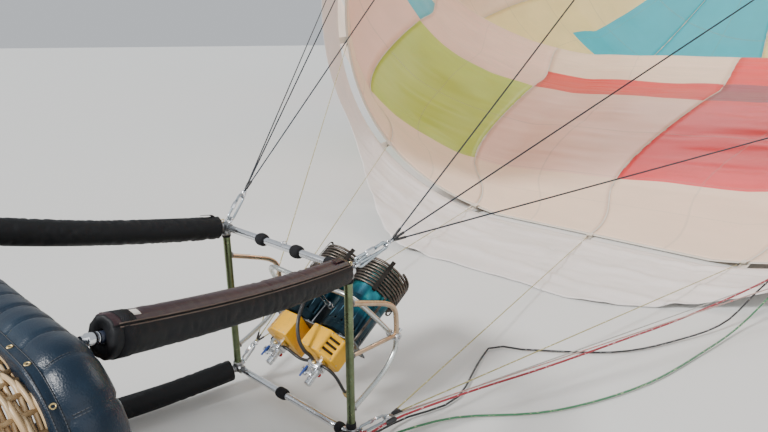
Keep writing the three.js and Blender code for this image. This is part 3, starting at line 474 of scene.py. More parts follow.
def surface(a, u):
    """Places on the envelope: a is the distance from the mouth in mm, u counts the load tapes."""
    a, u = (np.array(v, float) for v in np.broadcast_arrays(a, u))
    lying = 1 - ease((a - WIDEST + 600) / 4700)
    x, h, height = (np.zeros(a.shape) for _ in range(3))
    for key in np.unique(lying.round(5)):
        here = lying.round(5) == key
        across, up, walked = lying_section(key)
        scale = 2 * math.pi * nominal_radius(a[here]) / walked[-1]
        x[here] = np.interp(u[here] / GORES % 1 * walked[-1], walked, across) * scale
        h[here] = np.interp(u[here] / GORES % 1 * walked[-1], walked, up) * scale
        height[here] = up.max() * scale
    # Near the mouth the sections turn, lean back and shift; behind the crown's edge they are round
    turn = np.radians(14 * ease(a / 3000) - 10 * ease((a - 2400) / 3000))
    lean = np.radians(15 * (1 - ease(a / 5200)))
    _, up, walked = lying_section(1)
    half = up.max() * math.pi * BALL_R / walked[-1]
    middle = half + (5900 - half) * ease((a - WIDEST) / CROWN)
    lift = np.where(a > WIDEST, np.maximum(0, middle - height / 2), 0)
    # The blown up lower cloth stands clear of the ground past the mouth
    rise = (830 * ease((a - 1700) / 2700) + 450 * ease((a - 5600) / 3000)) * (1 - ease((a - 8500) / 2700))
    aside = 490 * ease(a / 2300) - 420 * ease((a - 2300) / 2000)
    aside = aside + np.maximum(0, a - 4300) * math.tan(math.radians(4))
    back = h * np.sin(lean)
    places = np.stack([130 - aside + x * np.cos(turn) + back * np.sin(turn),
                       3300 + a + x * np.sin(turn) - back * np.cos(turn),
                       lift + h * np.cos(lean) + rise * (1 - h / np.maximum(height, 1))], -1)
    return places / 1000 + np.array(zero)


def outward(a, u):
    """Which way the envelope's outside faces."""
    return unit(np.cross(surface(a + 4, u) - surface(a - 4, u), surface(a, u + 0.01) - surface(a, u - 0.01)))


def slack(a, u, wave_a, cells, seed, crease=False):
    """Smooth random folds, wave_a mm long with cells to a gore; creased ones have sharp crests."""
    lattice = np.random.RandomState(seed).rand(int(24000 / wave_a) + 4, GORES * cells)
    s, t = (a + 2000) / wave_a, (u % GORES) * cells
    i, j = np.floor(s).astype(int), np.floor(t).astype(int)
    f, g = ease(s - i), ease(t - j)
    near, far = (lattice[k, j % (GORES * cells)] * (1 - g) + lattice[k, (j + 1) % (GORES * cells)] * g
                 for k in (i, i + 1))
    value = near * (1 - f) + far * f
    return 1 - np.abs(2 * value - 1) * 1.6 if crease else 2 * value - 1


def near_ground(u):
    """One on the lowest cloth, nothing on the upper half."""
    away = np.abs((u + GORES / 2) % GORES - GORES / 2)
    return 1 - ease((away - 1.2) / 2.2)


def folds(a, u):
    """How far the cloth stands off its even surface, outward, in mm."""
    across = u % 1
    belly = 4 * across * (1 - across)
    low = near_ground(u)
    free = ease(a / 900)
    billow = 55 * belly * ease(a / 2500) * (1 - low)
    drawn = 10 * belly**0.5 * slack(a, u, 1500, 9, 11, True) * (1 - ease(a / 3200)) * free
    loose = 26 * belly**0.5 * slack(a, u + 0.15 * slack(a, u, 700, 2, 3), 520, 3, 5) * free
    blown = 12 * low * ease((a - 1900) / 500) * slack(a, u, 105, 3, 8, True) * (0.4 + 0.6 * belly)
    swell = 40 * low * belly * ease((a - 1800) / 1200) * slack(a, u, 460, 2, 21)
    return billow + drawn + loose + blown - np.abs(swell)


def metres_across(a):
    """One gore's width in metres, a mm from the mouth."""
    return nominal_radius(a) * 2 * math.pi / GORES / 1000


def cloth_mesh(name, a, u, stand_off, thickness, material_of=None, loop=False):
    """A closed sheet over a grid of a and u, with its UV map in metres across and along it."""
    way = outward(a, u)
    top = surface(a, u) + way * stand_off[..., None] / 1000
    face = unit(np.cross(np.gradient(top, axis=0), np.gradient(top, axis=1)))
    top[..., 2] = np.maximum(top[..., 2], 0.004 + thickness)
    under = top - face * thickness
    rows, columns = a.shape
    size = rows * columns
    grid = np.arange(size).reshape(rows, columns)
    right = np.roll(grid, -1, 1) if loop else grid[:, 1:]
    left = grid if loop else grid[:, :-1]
    p, q, r, s = left[:-1], right[:-1], right[1:], left[1:]
    outer = np.stack([p, s, r, q], -1).reshape(-1, 4)[:, ::-1]
    inner = outer[:, ::-1] + size
    edges = [np.stack([first, second, second + size, first + size], -1)
             for first, second in ((q[0], p[0]), (s[-1], r[-1]))]
    if not loop:
        for column, order in ((0, 1), (columns - 1, -1)):
            lower, upper = grid[:-1, column], grid[1:, column]
            edges.append(np.stack([lower, upper, upper + size, lower + size], -1)[:, ::order])
    faces = np.concatenate([outer, inner, *edges])
    middle_u = np.floor(u.mean()) + 0.5 if not loop else 0
    spot = np.stack([(u - middle_u) * metres_across(a), a / 1000 + 0 * u], -1).reshape(-1, 2)
    piece = new_piece(name, [top, under], faces, np.concatenate([spot, spot])[faces],
                      np.arange(len(faces)) < 2 * len(outer))
    if material_of is not None:
        order = material_of(a[:-1, :left.shape[1]], u[:-1, :left.shape[1]]).ravel()
        which = np.concatenate([order, order, np.zeros(len(faces) - 2 * len(order), int)])
        piece.data.polygons.foreach_set("material_index", which)
    piece.data.validate()
    piece.data.update()
    return piece


# Crumpled cloth: soft creases, fine crow's feet and a faint ripstop grid, all in metres of cloth.
# Its second output is a random mottle with a painted highlight on the crease crests.
cloth_group, take, give = socket_group(
    "crumpled_cloth", {"Crease size": 5.0, "Stretch": 0.35, "Grid": 180.0}, ["Height", "Shade"])
stretch = node(cloth_group, "CombineXYZ", X=take["Stretch"], Y=1.0, Z=1.0).outputs[0]
creases = node(cloth_group, "TexNoise", {"noise_type": "RIDGED_MULTIFRACTAL"},
               Vector=mapped(cloth_group, take["Vector"], stretch), Scale=take["Crease size"],
               Detail=3.0, Roughness=0.5, Distortion=0.6).outputs[0]
weave = node(cloth_group, "TexChecker", Vector=take["Vector"], Scale=take["Grid"]).outputs[1]
ripstop = times(cloth_group, weave, 0.04)
feed(cloth_group, give["Height"], plus(cloth_group, creases, ripstop))
soft = times(cloth_group, noise(cloth_group, take["Vector"], 1.3), 0.7)
# Random mottle, plus the crease height as a painted highlight on the crests
feed(cloth_group, give["Shade"], plus(cloth_group, soft, times(cloth_group, creases, 0.18)))

# Sewn panels: a doubled seam each panel length, another along the gore's middle, with stitches
seam_group, take, give = socket_group("sewn_panels", {"Panel": 1.05, "Middle": 1.0}, ["Seam", "Stitch"])
spot = node(seam_group, "SeparateXYZ", Vector=take["Vector"]).outputs
panel_seam = calc(seam_group, "PINGPONG", spot["Y"], times(seam_group, take["Panel"], 0.5))
no_middle = times(seam_group, calc(seam_group, "SUBTRACT", 1.0, take["Middle"]), 9.0)
middle_seam = plus(seam_group, calc(seam_group, "ABSOLUTE", spot["X"]), no_middle)
nearest = calc(seam_group, "MINIMUM", panel_seam, middle_seam)
feed(seam_group, give["Seam"], calc(seam_group, "LESS_THAN", nearest, 0.011))
pitch = times(seam_group, plus(seam_group, spot["X"], spot["Y"]), 90.0)
dashes = calc(seam_group, "LESS_THAN", calc(seam_group, "FRACT", pitch), 0.6)
off_line = calc(seam_group, "ABSOLUTE", calc(seam_group, "SUBTRACT", nearest, 0.007))
line = calc(seam_group, "LESS_THAN", off_line, 0.0015)
feed(seam_group, give["Stitch"], times(seam_group, dashes, line))


def nylon(name, color, crease=5.0, stretch=0.35, strength=0.35, middle=1.0, panel=1.05):
    """Sewn nylon cloth of one colour, with creases and the seams of its panels."""
    made, tree, shader = finish_of(name, Roughness=0.5, Sheen_Weight=0.25, Sheen_Roughness=0.4)
    uv = uv_of(tree)
    cloth = node(tree, "Group", {"node_tree": cloth_group}, Vector=uv, Crease_size=crease,
                 Stretch=stretch).outputs
    sewn = node(tree, "Group", {"node_tree": seam_group}, Vector=uv, Middle=middle, Panel=panel).outputs
    # The mottle and the painted highlight on the crease crests lighten or darken the colour
    tone = blended(tree, cloth["Shade"], [c * 0.8 for c in color], [c * 1.12 for c in color])
    tone = blended(tree, times(tree, sewn["Seam"], 0.45), tone, [c * 0.62 for c in color])
    tone = blended(tree, times(tree, sewn["Stitch"], 0.5), tone, (0.75, 0.7, 0.62))
    height = plus(tree, cloth["Height"], times(tree, sewn["Seam"], 0.25))
    dress(tree, shader, tone, None, (strength, 0.012, height))
    return made


CLOTHS = [nylon("nylon_" + name, color) for name, color in [
    ("cream", (0.90, 0.69, 0.53)), ("blush", (0.88, 0.60, 0.50)), ("red", (0.80, 0.012, 0.03)),
    ("green", (0.47, 0.62, 0.07)), ("teal", (0.03, 0.50, 0.68)), ("plum", (0.34, 0.03, 0.08)),
    ("straw", (0.92, 0.77, 0.38))]]
CREAM, BLUSH, RED, GREEN, TEAL, PLUM, STRAW = range(7)
PANEL_ROWS = [0, 2050, 4150, 6300, 8500, 10600, 13700, 16700, 17600]
# One line for each panel row from the mouth, one colour for each gore from the lowest load tape
PANELS = [
    [CREAM] * GORES,
    [RED, BLUSH, TEAL, BLUSH, GREEN, BLUSH, RED, BLUSH, TEAL, BLUSH, GREEN, BLUSH],
    [PLUM, CREAM, BLUSH, TEAL, CREAM, GREEN, BLUSH, RED, CREAM, TEAL, BLUSH, RED],
    [RED, GREEN, CREAM, CREAM, TEAL, CREAM, GREEN, CREAM, RED, CREAM, BLUSH, CREAM],
    [GREEN, CREAM, RED, CREAM, CREAM, TEAL, CREAM, GREEN, CREAM, RED, CREAM, TEAL],
    [STRAW, TEAL, CREAM, RED, CREAM, CREAM, TEAL, CREAM, GREEN, CREAM, STRAW, STRAW],
    [STRAW, STRAW, TEAL, STRAW, RED, STRAW, STRAW, TEAL, STRAW, GREEN, TEAL, TEAL],
    [STRAW] * GORES,
]
near_rows = np.concatenate([np.arange(0, 2050, 50), np.arange(2050, 9000, 35)])
crown_edge = WIDEST + CROWN * math.sqrt(1 - (VENT_R / BALL_R) ** 2)
far_rows = np.concatenate([np.arange(9000, 14000, 110), np.linspace(14000, crown_edge, 30)])
CLOTH_THICKNESS, SEAM_LAP = 0.003, 0.18
for gore in range(GORES):
    lowest = gore in (0, 1, 10, 11)
    rows = np.concatenate([near_rows if lowest else near_rows[::2], far_rows])
    columns = gore + np.linspace(0, 1, 25 if lowest else 17)
    a, u = np.meshgrid(rows, columns, indexing="ij")
    ends = np.where(u == gore, 1, np.where(u == gore + 1, -1, 0))
    u = u + ends * SEAM_LAP * GORES / (2 * math.pi * nominal_radius(a))

    def panel_color(a_low, u_low):
        """Which of the colours each face has."""
        row = np.clip(np.searchsorted(PANEL_ROWS, a_low + 1) - 1, 0, 7)
        half_panel = (gore == 10) & (row == 6) & (u_low - gore < 0.4)
        return np.where(half_panel, STRAW, np.array([PANELS[r][gore] for r in range(8)])[row])

    name = f"gore_{gore + 1:02d}"
    piece = cloth_mesh("nylon_" + name, a, u, folds(a, u), CLOTH_THICKNESS, panel_color)
    for cloth in CLOTHS:
        piece.data.materials.append(cloth)
    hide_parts(name)
    walk = np.linalg.norm(np.diff(surface(rows, gore + 0.5), axis=0), axis=1)

# Load tapes: polyester webbing sewn over each seam from the mouth to the vent's edge, doubled by
# a narrow seam allowance on the inside that shows as a thin line.
webbing, tree, shader = finish_of("webbing", Roughness=0.75, Sheen_Weight=0.2)
uv = uv_of(tree)
spot = node(tree, "SeparateXYZ", Vector=uv).outputs
slanted = plus(tree, spot["Y"], times(tree, spot["X"], 0.6))
ribs = times(tree, calc(tree, "PINGPONG", slanted, 0.003), 330.0)
dress(tree, shader, blended(tree, noise(tree, uv, 3.0, 4.0), (0.52, 0.47, 0.38), (0.86, 0.82, 0.74)),
      None, (0.6, 0.002, ribs))


def ribbon(name, places, ups, half, thick, material, body="base"):
    """Flat webbing along places, lying square to ups, as a closed strip with metres in its UV map."""
    side = unit(np.cross(np.gradient(places, axis=0), ups))
    up = unit(ups) * thick
    left, right = places - side * half, places + side * half
    rings = np.stack([left, right, right + up, left + up], 1)
    count = len(places)
    corner = np.arange(4 * count).reshape(count, 4)
    faces, spots, walked = [], [], walked_of(places)
    for i in range(count - 1):
        for j in range(4):
            k = (j + 1) % 4
            faces.append((corner[i, j], corner[i + 1, j], corner[i + 1, k], corner[i, k]))
            x = (-half, half) if j % 2 == 0 else (half, half)
            spots += [(x[0], walked[i]), (x[0], walked[i + 1]), (x[1], walked[i + 1]), (x[1], walked[i])]
    for ring, order in ((0, 1), (count - 1, -1)):
        faces.append(tuple(corner[ring])[::order])
        spots += [(0, walked[ring])] * 4
    piece = new_piece(name, rings, faces, spots, False, body, material)
    return piece


def one_piece(name, parts):
    """Joins these pieces into one that keeps their materials and UV maps."""
    bpy.ops.object.select_all(action="DESELECT")
    for part in parts:
        part.select_set(True)
    bpy.context.view_layer.objects.active = parts[0]
    bpy.ops.object.join()
    parts[0].name = parts[0].data.name = name
    bpy.ops.object.select_all(action="DESELECT")
    return parts[0]


tape_rows = np.concatenate([np.arange(-40, 9000, 150), far_rows[::2]])
strips = []
for tape in range(GORES):
    places, ups = surface(tape_rows, tape), outward(tape_rows, tape)
    places[:, 2] = np.maximum(places[:, 2], 0.009)
    strips.append(ribbon("tape", places + ups * 0.0006, ups, 0.014, 0.0018, webbing))
    inside = places - ups * (CLOTH_THICKNESS + 0.0024)
    strips.append(ribbon("seam", inside, ups, 0.007, 0.0016, webbing))
one_piece("load_tapes", strips)

# Mouth tape: a strong hem round the mouth with straps over the open slit and a webbing loop for
# each flying wire. The skirt hangs from the straps.
MOUTH_TAPE, LOOP_ROW = 45, -22.5
rows, columns = np.linspace(-MOUTH_TAPE, -0.8, 6), np.linspace(0, GORES, 577)[:-1]
a, u = np.meshgrid(rows, columns, indexing="ij")
hem = cloth_mesh("mouth_tape_hem", a, u, 1.5 * np.cos(a / MOUTH_TAPE * math.pi) + 0 * u, 0.004, None, True)
hem.data.materials.append(webbing)
straps = [hem]
# Each corner's places in mm: the start of its link, the middle of its ring, the start of its wires
CORNER_PLACES = {
    "near_low": ((384.7, 36.9, 101.4), (418.7, 166.7, 106.3), (422.2, 180.2, 106.8)),
    "near_high": ((392.5, 28.5, 835.5), (453.8, 128.6, 900.6), (460.2, 139.0, 907.4)),
    "far_high": ((-380.9, 27.2, 843.2), (-401.6, 122.8, 935.1), (-403.7, 132.8, 944.7)),
    "far_low": ((-390.5, 34.2, 107.3), (-444.9, 154.2, 132.8), (-450.5, 166.7, 135.5)),
}
TAPES = {"near_low": [0, 1, 2], "near_high": [3, 4, 5], "far_high": [6, 7, 8], "far_low": [9, 10, 11]}
wire_ends = {}
for corner, tapes in TAPES.items():
    for tape in tapes + ([1.86, 1.72, 1.58] if corner == "near_low" else []):
        up = outward(LOOP_ROW, tape)
        foot = surface(LOOP_ROW, tape) - up * 0.014
        way = unit(np.array(at(*CORNER_PLACES[corner][2])) - foot)
        wire_ends[tape] = foot + way * 0.0753
        steps = np.linspace(-0.02, 0.066, 12)[:, None]
        if tape in tapes:
            length = np.linspace(-165, -15, 14)
            over, ups = surface(length, tape), outward(length, tape)
            over[:, 2] = np.maximum(over[:, 2], 0.008)
            straps.append(ribbon("strap", over + ups * 0.003, ups, 0.03, 0.003, webbing))
        wide = 0.024 if tape in tapes else 0.012
        for lift in (-0.003, 0.005):
            straps.append(ribbon("loop", foot + steps * way + up * lift, np.repeat([up], 12, 0), wide, 0.002,
                                 webbing))
mouth_webbing = one_piece("mouth_webbing", straps)
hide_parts("mouth_tape")

# Skirt: fire resistant cream cloth below the slit, long where it lies on the ground, with flat
# pleats that run round the mouth and a soft rolled hem.
SLIT, SKIRT_HIGH, SKIRT_LOW = 110, 250, 1180
SKIRT_TOP = -MOUTH_TAPE - SLIT - 0.95


def skirt_length(u):
    """How deep the skirt hangs at a place round the mouth, in mm."""
    away = np.abs((u + 0.3 + GORES / 2) % GORES - GORES / 2)
    return SKIRT_HIGH + (SKIRT_LOW - SKIRT_HIGH) * ease((2.1 - away) / 1.5)


def pleats(t, u):
    """How far the skirt's cloth stands in from its even surface, in mm."""
    low = near_ground(u)
    deep = skirt_length(u)
    d = t * deep
    wander = 90 * slack(d, u, 900, 3, 31) + 40 * slack(d, u, 260, 5, 32)
    long_folds = np.clip(np.sin((d + wander) / 62), 0, 1) ** 1.5 * 15
    finer = np.clip(slack(d, u, 70, 4, 33, True), 0, 1) * 9
    buckle = 14 * np.abs(slack(d, u, 420, 6, 34))
    hump = 55 * np.exp(-(((u + 0.13) / 0.05) ** 2) - ((1 - t) * deep / 90) ** 2)
    edge = ease(t * 8) * (0.4 + 0.6 * ease(deep / 900 - 0.2))
    return (long_folds + finer + buckle) * edge * (0.35 + 0.65 * low) + hump


t, columns = np.linspace(0, 1, 41), np.linspace(0, GORES, 721)[:-1]
t, u = np.meshgrid(t, columns, indexing="ij")
hem_wave = 24 * slack(0 * u, u, 300, 7, 41) * t
a = SKIRT_TOP - t * (skirt_length(u) + hem_wave * ease(skirt_length(u) / 800 - 0.3))
skirt_cloth = cloth_mesh("skirt_cloth", a, u, -pleats(t, u), 0.003, None, True)
skirt_cloth.data.materials.append(nylon(
    "aramid_cream", (0.80, 0.75, 0.72), crease=7.0, stretch=1.0, strength=0.3, middle=0.0, panel=3.0))
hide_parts("skirt")
ring = np.linalg.norm(np.roll(surface(SKIRT_TOP, columns), -1, 0) - surface(SKIRT_TOP, columns), axis=1)

# Wicker wall: pale cane and willow rods, about 9 mm thick, woven over two stakes and under two
# with a step of one stake in each row, so the weave climbs at a slant. It has no back or front.
# The basket's half width and half depth, its corners' radius and its rim's top, in mm
HALF_X, HALF_Z, CORNER_R, RIM_Y = 780, 535, 190, -974


def rim_path(inset, count):
    """The basket's rounded outline, inset by some mm: x and z, its outward way, metres walked."""
    corner = CORNER_R - inset
    bends = []
    for side_x, side_z, start in ((1, 1, 0), (-1, 1, 90), (-1, -1, 180), (1, -1, 270)):
        turn = np.radians(np.linspace(start, start + 90, 40))
        bends.append(np.stack([side_x * (HALF_X - CORNER_R) + corner * np.cos(turn),
                               side_z * (HALF_Z - CORNER_R) + corner * np.sin(turn)], 1))
    line = np.concatenate([*bends, bends[0][:1]])
    walked = walked_of(line)
    steps = np.linspace(0, walked[-1], count, endpoint=False)
    places = np.stack([np.interp(steps, walked, line[:, k]) for k in (0, 1)], 1)
    along = np.roll(places, -1, 0) - np.roll(places, 1, 0)
    way = unit(np.stack([along[:, 1], -along[:, 0]], 1))
    places[:, 1] += HALF_Z
    return places, way, steps / 1000, walked[-1] / 1000


def from_grid(name, grid, spots=None, closed=True, body="base", material=None):
    """A piece from a grid of places whose columns run round and, where closed, its rows as well."""
    rows, columns = grid.shape[:2]
    index = np.arange(rows * columns).reshape(rows, columns)
    here, down = (index, np.roll(index, -1, 0)) if closed else (index[:-1], index[1:])
    faces = np.stack([here, np.roll(here, -1, 1), np.roll(down, -1, 1), down], -1).reshape(-1, 4)
    spots = np.zeros((rows * columns, 2)) if spots is None else spots.reshape(-1, 2)
    return new_piece(name, grid, faces, spots[faces], True, body, material)


def faces_out(piece):
    """Turns a closed mesh's faces outward."""
    pick(piece)
    bpy.ops.object.mode_set(mode="EDIT")
    bpy.ops.mesh.select_all(action="SELECT")
    bpy.ops.mesh.normals_make_consistent(inside=False)
    bpy.ops.object.mode_set(mode="OBJECT")
    piece.select_set(False)
    return piece


def cane(name, light, dark):
    """Peeled rods, some paler than others, with a fine grain along them."""
    made, tree, shader = finish_of(name, Roughness=0.42, Coat_Weight=0.25, Coat_Roughness=0.3)
    uv = uv_of(tree)
    grain = noise(tree, mapped(tree, uv, (3, 160, 1)), 1.0, 5.0)
    rod = noise(tree, mapped(tree, uv, (0.9, 37, 1)), 1.0, 1.0)
    tone = blended(tree, ranged(tree, rod, From_Min=0.35, From_Max=0.65), dark, light)
    tone = blended(tree, times(tree, grain, 0.5), tone, [c * 0.55 for c in dark])
    dress(tree, shader, tone, None, (0.5, 0.0015, grain))
    return made


wicker = cane("cane", (0.78, 0.60, 0.36), (0.50, 0.31, 0.14))
STAKES, ROW, WALL_INSET = 108, 8.8, 54
places, way, walked, _ = rim_path(WALL_INSET, STAKES * 3)
turn = circle(4)
parts = []
for i, y in enumerate(np.arange(-1957, -1088, ROW)):
    phase = np.arange(STAKES * 3) / 3 + i
    wave = 9.0 * np.clip(1.5 * np.sin(phase * math.pi / 2), -1, 1)
    drift = 1.1 * np.sin(phase * 1.7 + i * 2.1) + 1.8 * np.cos(phase * math.pi / 2)
    middle = np.stack([places[:, 0] + way[:, 0] * wave, y + drift, places[:, 1] + way[:, 1] * wave], 1)
    out = np.stack([way[:, 0], 0 * wave, way[:, 1]], 1)
    thick = 4.5 + 0.5 * math.sin(i * 3.3)
    spread = np.cos(turn)[None, :, None] * out[:, None]
    spread = spread + 1.25 * np.sin(turn)[None, :, None] * np.array([0, 1, 0])
    ring = middle[:, None] + thick * spread
    spots = np.stack(np.broadcast_arrays(walked[:, None] + i * 1.37, i * 0.07 + turn[None] * 0.004), -1)
    parts.append(from_grid("rod", np.array(zero) + ring / 1000, spots, material=wicker))
half = len(parts) // 2
for name, rods in (("wicker_weave", parts[:half]), ("wicker_weave_upper", parts[half:])):
    weave_piece = faces_out(one_piece(name, rods))
    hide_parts("basket_wall")
stakes = []
for x, z in rim_path(WALL_INSET, STAKES)[0]:
    stakes.append(sweep("stake", [at(x, y, z) for y in (-1985, -1570, -1095)], 0.0055, 6, wicker))
one_piece("wicker_stakes", stakes)

# Leather: dark navy hide with a fine pebble grain, brighter where hands rub it
grain_group, take, give = socket_group("hide_grain", {"Pebbles": 320.0}, ["Height", "Rub"])
pebble = node(grain_group, "TexVoronoi", Vector=take["Vector"], Scale=take["Pebbles"]).outputs[0]
creased = noise(grain_group, take["Vector"], 14.0, 4.0, Distortion=1.2)
pebbled = times(grain_group, pebble, 0.35)
feed(grain_group, give["Height"], plus(grain_group, pebbled, creased))
rub = noise(grain_group, take["Vector"], 5.0, 6.0, Roughness=0.7)
feed(grain_group, give["Rub"], ranged(grain_group, rub, From_Min=0.45, From_Max=0.75))


def hide(name, color, rubbed, rough, pebbles, coat):
    """Leather or coated cloth with a pebbled grain."""
    made, tree, shader = finish_of(name, Coat_Weight=coat, Coat_Roughness=0.35, Specular_IOR_Level=0.3)
    skin = node(tree, "Group", {"node_tree": grain_group}, Vector=uv_of(tree), Pebbles=pebbles).outputs
    dress(tree, shader, blended(tree, skin["Rub"], color, rubbed),
          (skin["Rub"], rough, rough + 0.18), (0.35, 0.003, skin["Height"]))
    return made


navy_hide = hide("navy_hide", (0.003, 0.013, 0.028), (0.008, 0.028, 0.052), 0.34, 320.0, 0.12)
thread, tree, shader = finish_of("waxed_thread", Roughness=0.6)
spot = node(tree, "SeparateXYZ", Vector=uv_of(tree)).outputs
twist = calc(tree, "FRACT", times(tree, spot["Y"], 140.0))
strand = calc(tree, "GREATER_THAN", twist, 0.3)
dress(tree, shader, blended(tree, strand, (0.01, 0.01, 0.012), (0.05, 0.055, 0.065)))

# Basket rim: leather over a foam roll, sewn in sections of about 85 mm and turned down over the
# wicker on both sides, where a row of eyelets laces it to the top rows.
SECTIONS, STEPS, ROLL_R = 54, 10, 56
count = SECTIONS * STEPS
places, way, walked, girth = rim_path(ROLL_R, count)
along = (np.arange(count) / STEPS) % 1
pinch = np.exp(-((np.minimum(along, 1 - along) / 0.07) ** 2))
pillow = (4 * along * (1 - along)) ** 0.4
turn = np.radians(np.linspace(-46, 226, 23))
profile = [(32.5, -66), (34.5, -64), (36, -60), (36.5, -54), (36.2, -49), (36, -44)]
profile += [(ROLL_R * math.cos(t), ROLL_R * math.sin(t)) for t in turn]
profile += [(-33, -44), (-33, -49), (-32, -54), (-31, -60), (-29, -66), (0, -67)]
profile = np.array(profile)
rolled = np.array([0.15, 0.3, 0.5, 0.4, 0.1, -0.3] + [1.0] * 23 + [-0.3, 0.1, 0.4, 0.3, 0.1, 0])
folded = slack(np.arange(count)[:, None] * 22.0, 0.09 * np.arange(len(profile))[None], 60, 3, 51)
swell = rolled * (1.8 * pillow - 3.6 * pinch)[:, None] + folded * 1.1
direction = unit(profile)
direction[:6], direction[-6:-1] = (1, 0), (-1, 0)
shape = profile + direction * np.clip(swell * np.abs(rolled), -7, 2.4)[..., None]


def round_basket(places, way, out, height):
    """Places round the basket, so many mm outward of its outline and at this height."""
    x, z = (places[:, None, k] + way[:, None, k] * out for k in (0, 1))
    return np.stack([x, np.broadcast_to(height, x.shape), z], -1) / 1000 + np.array(zero)


grid = round_basket(places, way, shape[..., 0], RIM_Y - ROLL_R + shape[..., 1])
spots = np.stack(np.broadcast_arrays(walked[:, None], walked_of(profile)[None] / 1000), -1)
rim_hide = faces_out(from_grid("rim_hide", grid, spots, material=navy_hide))
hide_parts("basket_rim")


def on_rim(s, n, y):
    """A place on the rim's side: s metres round, n mm outward of its middle, y mm ahead of it."""
    i = s / girth * count
    x, z, way_x, way_z = (np.interp(i, np.arange(count + 1), np.append(v, v[0])) for v in (*places.T, *way.T))
    return Vector(at(x + way_x * n, RIM_Y - ROLL_R + y, z + way_z * n)), Vector((way_x, 0, way_z))


THREAD_R, SEAM_GAP, SEAM_R = 0.0011, 0.0022, 52.4
seams = []
for step in range(SECTIONS):
    s = step * girth / SECTIONS
    for lift in (-SEAM_GAP, SEAM_GAP):
        line = [on_rim(s + lift, SEAM_R * math.cos(t), SEAM_R * math.sin(t))[0]
                for t in np.radians(np.linspace(-40, 220, 18))]
        seams.append(sweep("seam", line, THREAD_R, 5, thread))
for n, y in ((37.4, -45), (37.0, -62), (-34.5, -50)):
    line = [on_rim(s, n, y)[0] for s in np.linspace(0, girth * 0.9999, 260)]
    seams.append(sweep("seam", line, THREAD_R, 5, thread))
one_piece("rim_stitches", seams)

eyelets = []
ring = [(3.2, 0.2), (4.2, 1.4), (5.6, 1.5), (6.4, 0.4), (6.4, -1), (3.2, -1), (3.2, 0.2)]
for step in range(SECTIONS):
    place, way_out = on_rim((step + 0.3) * girth / SECTIONS, 36.8, -53)
    eyelets.append(spun("eyelet", ring, place, way_out, brass, 14))
one_piece("rim_eyelets", eyelets)

# Upright rods: nylon rods sprung between sockets on the basket and on the load frame, bowed a
# little by their own weight. A turned chrome ferrule closes the end at the basket.
UPRIGHTS = {
    "near_low": [(FRAME_X, 0, FRAME_FOOT), (529.9, -515, 49.6), (684.8, -1030, 95.2)],
    "near_high": [(FRAME_X, 0, FRAME_TOP), (467.5, -515, 881.5), (560, -1030, 1042)],
    "far_high": [(-FRAME_X, 0, FRAME_TOP), (-467.5, -515, 881.5), (-560, -1030, 1042)],
    "far_low": [(-FRAME_X, 0, FRAME_FOOT), (-529.9, -515, 49.6), (-684.8, -1030, 95.2)],
}


def bowed(name, stops):
    """Places along an upright's bow, at distances in mm from the frame or, if negative, the rim."""
    start, middle, end = (np.array(at(*p)) for p in UPRIGHTS[name])
    t = np.linspace(0, 1, 240)[:, None]
    line = (1 - t) ** 2 * start + 2 * t * (1 - t) * middle + t * t * end
    walked = walked_of(line)
    stops = np.array(stops) / 1000
    stops = np.where(stops < 0, stops + walked[-1], stops)
    return np.stack([np.interp(stops, walked, line[:, i]) for i in range(3)], 1)


nylon_rod, tree, shader = finish_of("nylon_rod", Roughness=0.38, Coat_Weight=0.2, Coat_Roughness=0.3)
scuffs = noise(tree, mapped(tree, uv_of(tree), (260, 9, 1)), 1.0, 5.0)
dress(tree, shader, blended(tree, scuffs, (0.008, 0.012, 0.03), (0.03, 0.04, 0.07)), None,
      (0.2, 0.0005, scuffs))
chrome = metal("bright_chrome", (0.78, 0.8, 0.83), 0.12, 0.1, (0.42, 0.42, 0.43), 0.5)
FERRULE_STOPS = [-104, -103, -100, -99, -98, -92, -91, -90, -76, -74, -73, -62.3]
FERRULE_RADII = np.array([9, 13.4, 14, 14, 13, 13, 14, 14, 14, 12.5, 10.5, 10]) / 1000
for name in UPRIGHTS:
    rod = sweep("rod", bowed(name, [62.6, 64, *range(100, 900, 50), -120, -96]), 0.0132, 20, nylon_rod)
    ferrule = sweep("ferrule", bowed(name, FERRULE_STOPS), FERRULE_RADII, 24, chrome)
    rod_piece = one_piece("sprung_rod_" + name, [rod, ferrule])
    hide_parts("upright_rod_" + name)

# Upright covers: black coated cloth over a foam sleeve round the rod, closed by a zip under a flap
# of brown hide between two piped seams. A band closes the end at the basket, with a blank tag.
cover_cloth = hide("coated_cloth", (0.003, 0.0035, 0.0045), (0.008, 0.0085, 0.011), 0.5, 900.0, 0.0)
flap_hide = hide("flap_hide", (0.028, 0.010, 0.014), (0.055, 0.026, 0.028), 0.4, 420.0, 0.1)
# The piping's pale brown is partly its own colour and partly a painted highlight on the raised seams
piping = hide("piping", (0.10, 0.07, 0.055), (0.2, 0.15, 0.12), 0.5, 900.0, 0.05)
black_webbing, tree, shader = finish_of("black_webbing", Roughness=0.75, Specular_IOR_Level=0.25)
place = place_of(tree)
rib = node(tree, "TexWave", {"bands_direction": "DIAGONAL"}, Vector=place, Scale=240.0).outputs[1]
fluff = noise(tree, place, 60.0, 5.0)
dress(tree, shader, blended(tree, fluff, (0.003, 0.003, 0.004), (0.018, 0.018, 0.021)), None,
      (0.5, 0.001, rib))
BORE_R = 19.2
# Which way each zip faces, in degrees from the balloon's right side upward
ZIP_FACES = {"near_low": -35, "near_high": 88, "far_high": 178, "far_low": 215}
half_turn = [*range(0, 33, 8), 36, 38, 39.5, 41, 42.5, 44, 46, 48, 50, 52, 54, 58, *range(64, 177, 8)]
phi = np.array([-v for v in half_turn[:0:-1]] + half_turn, float)


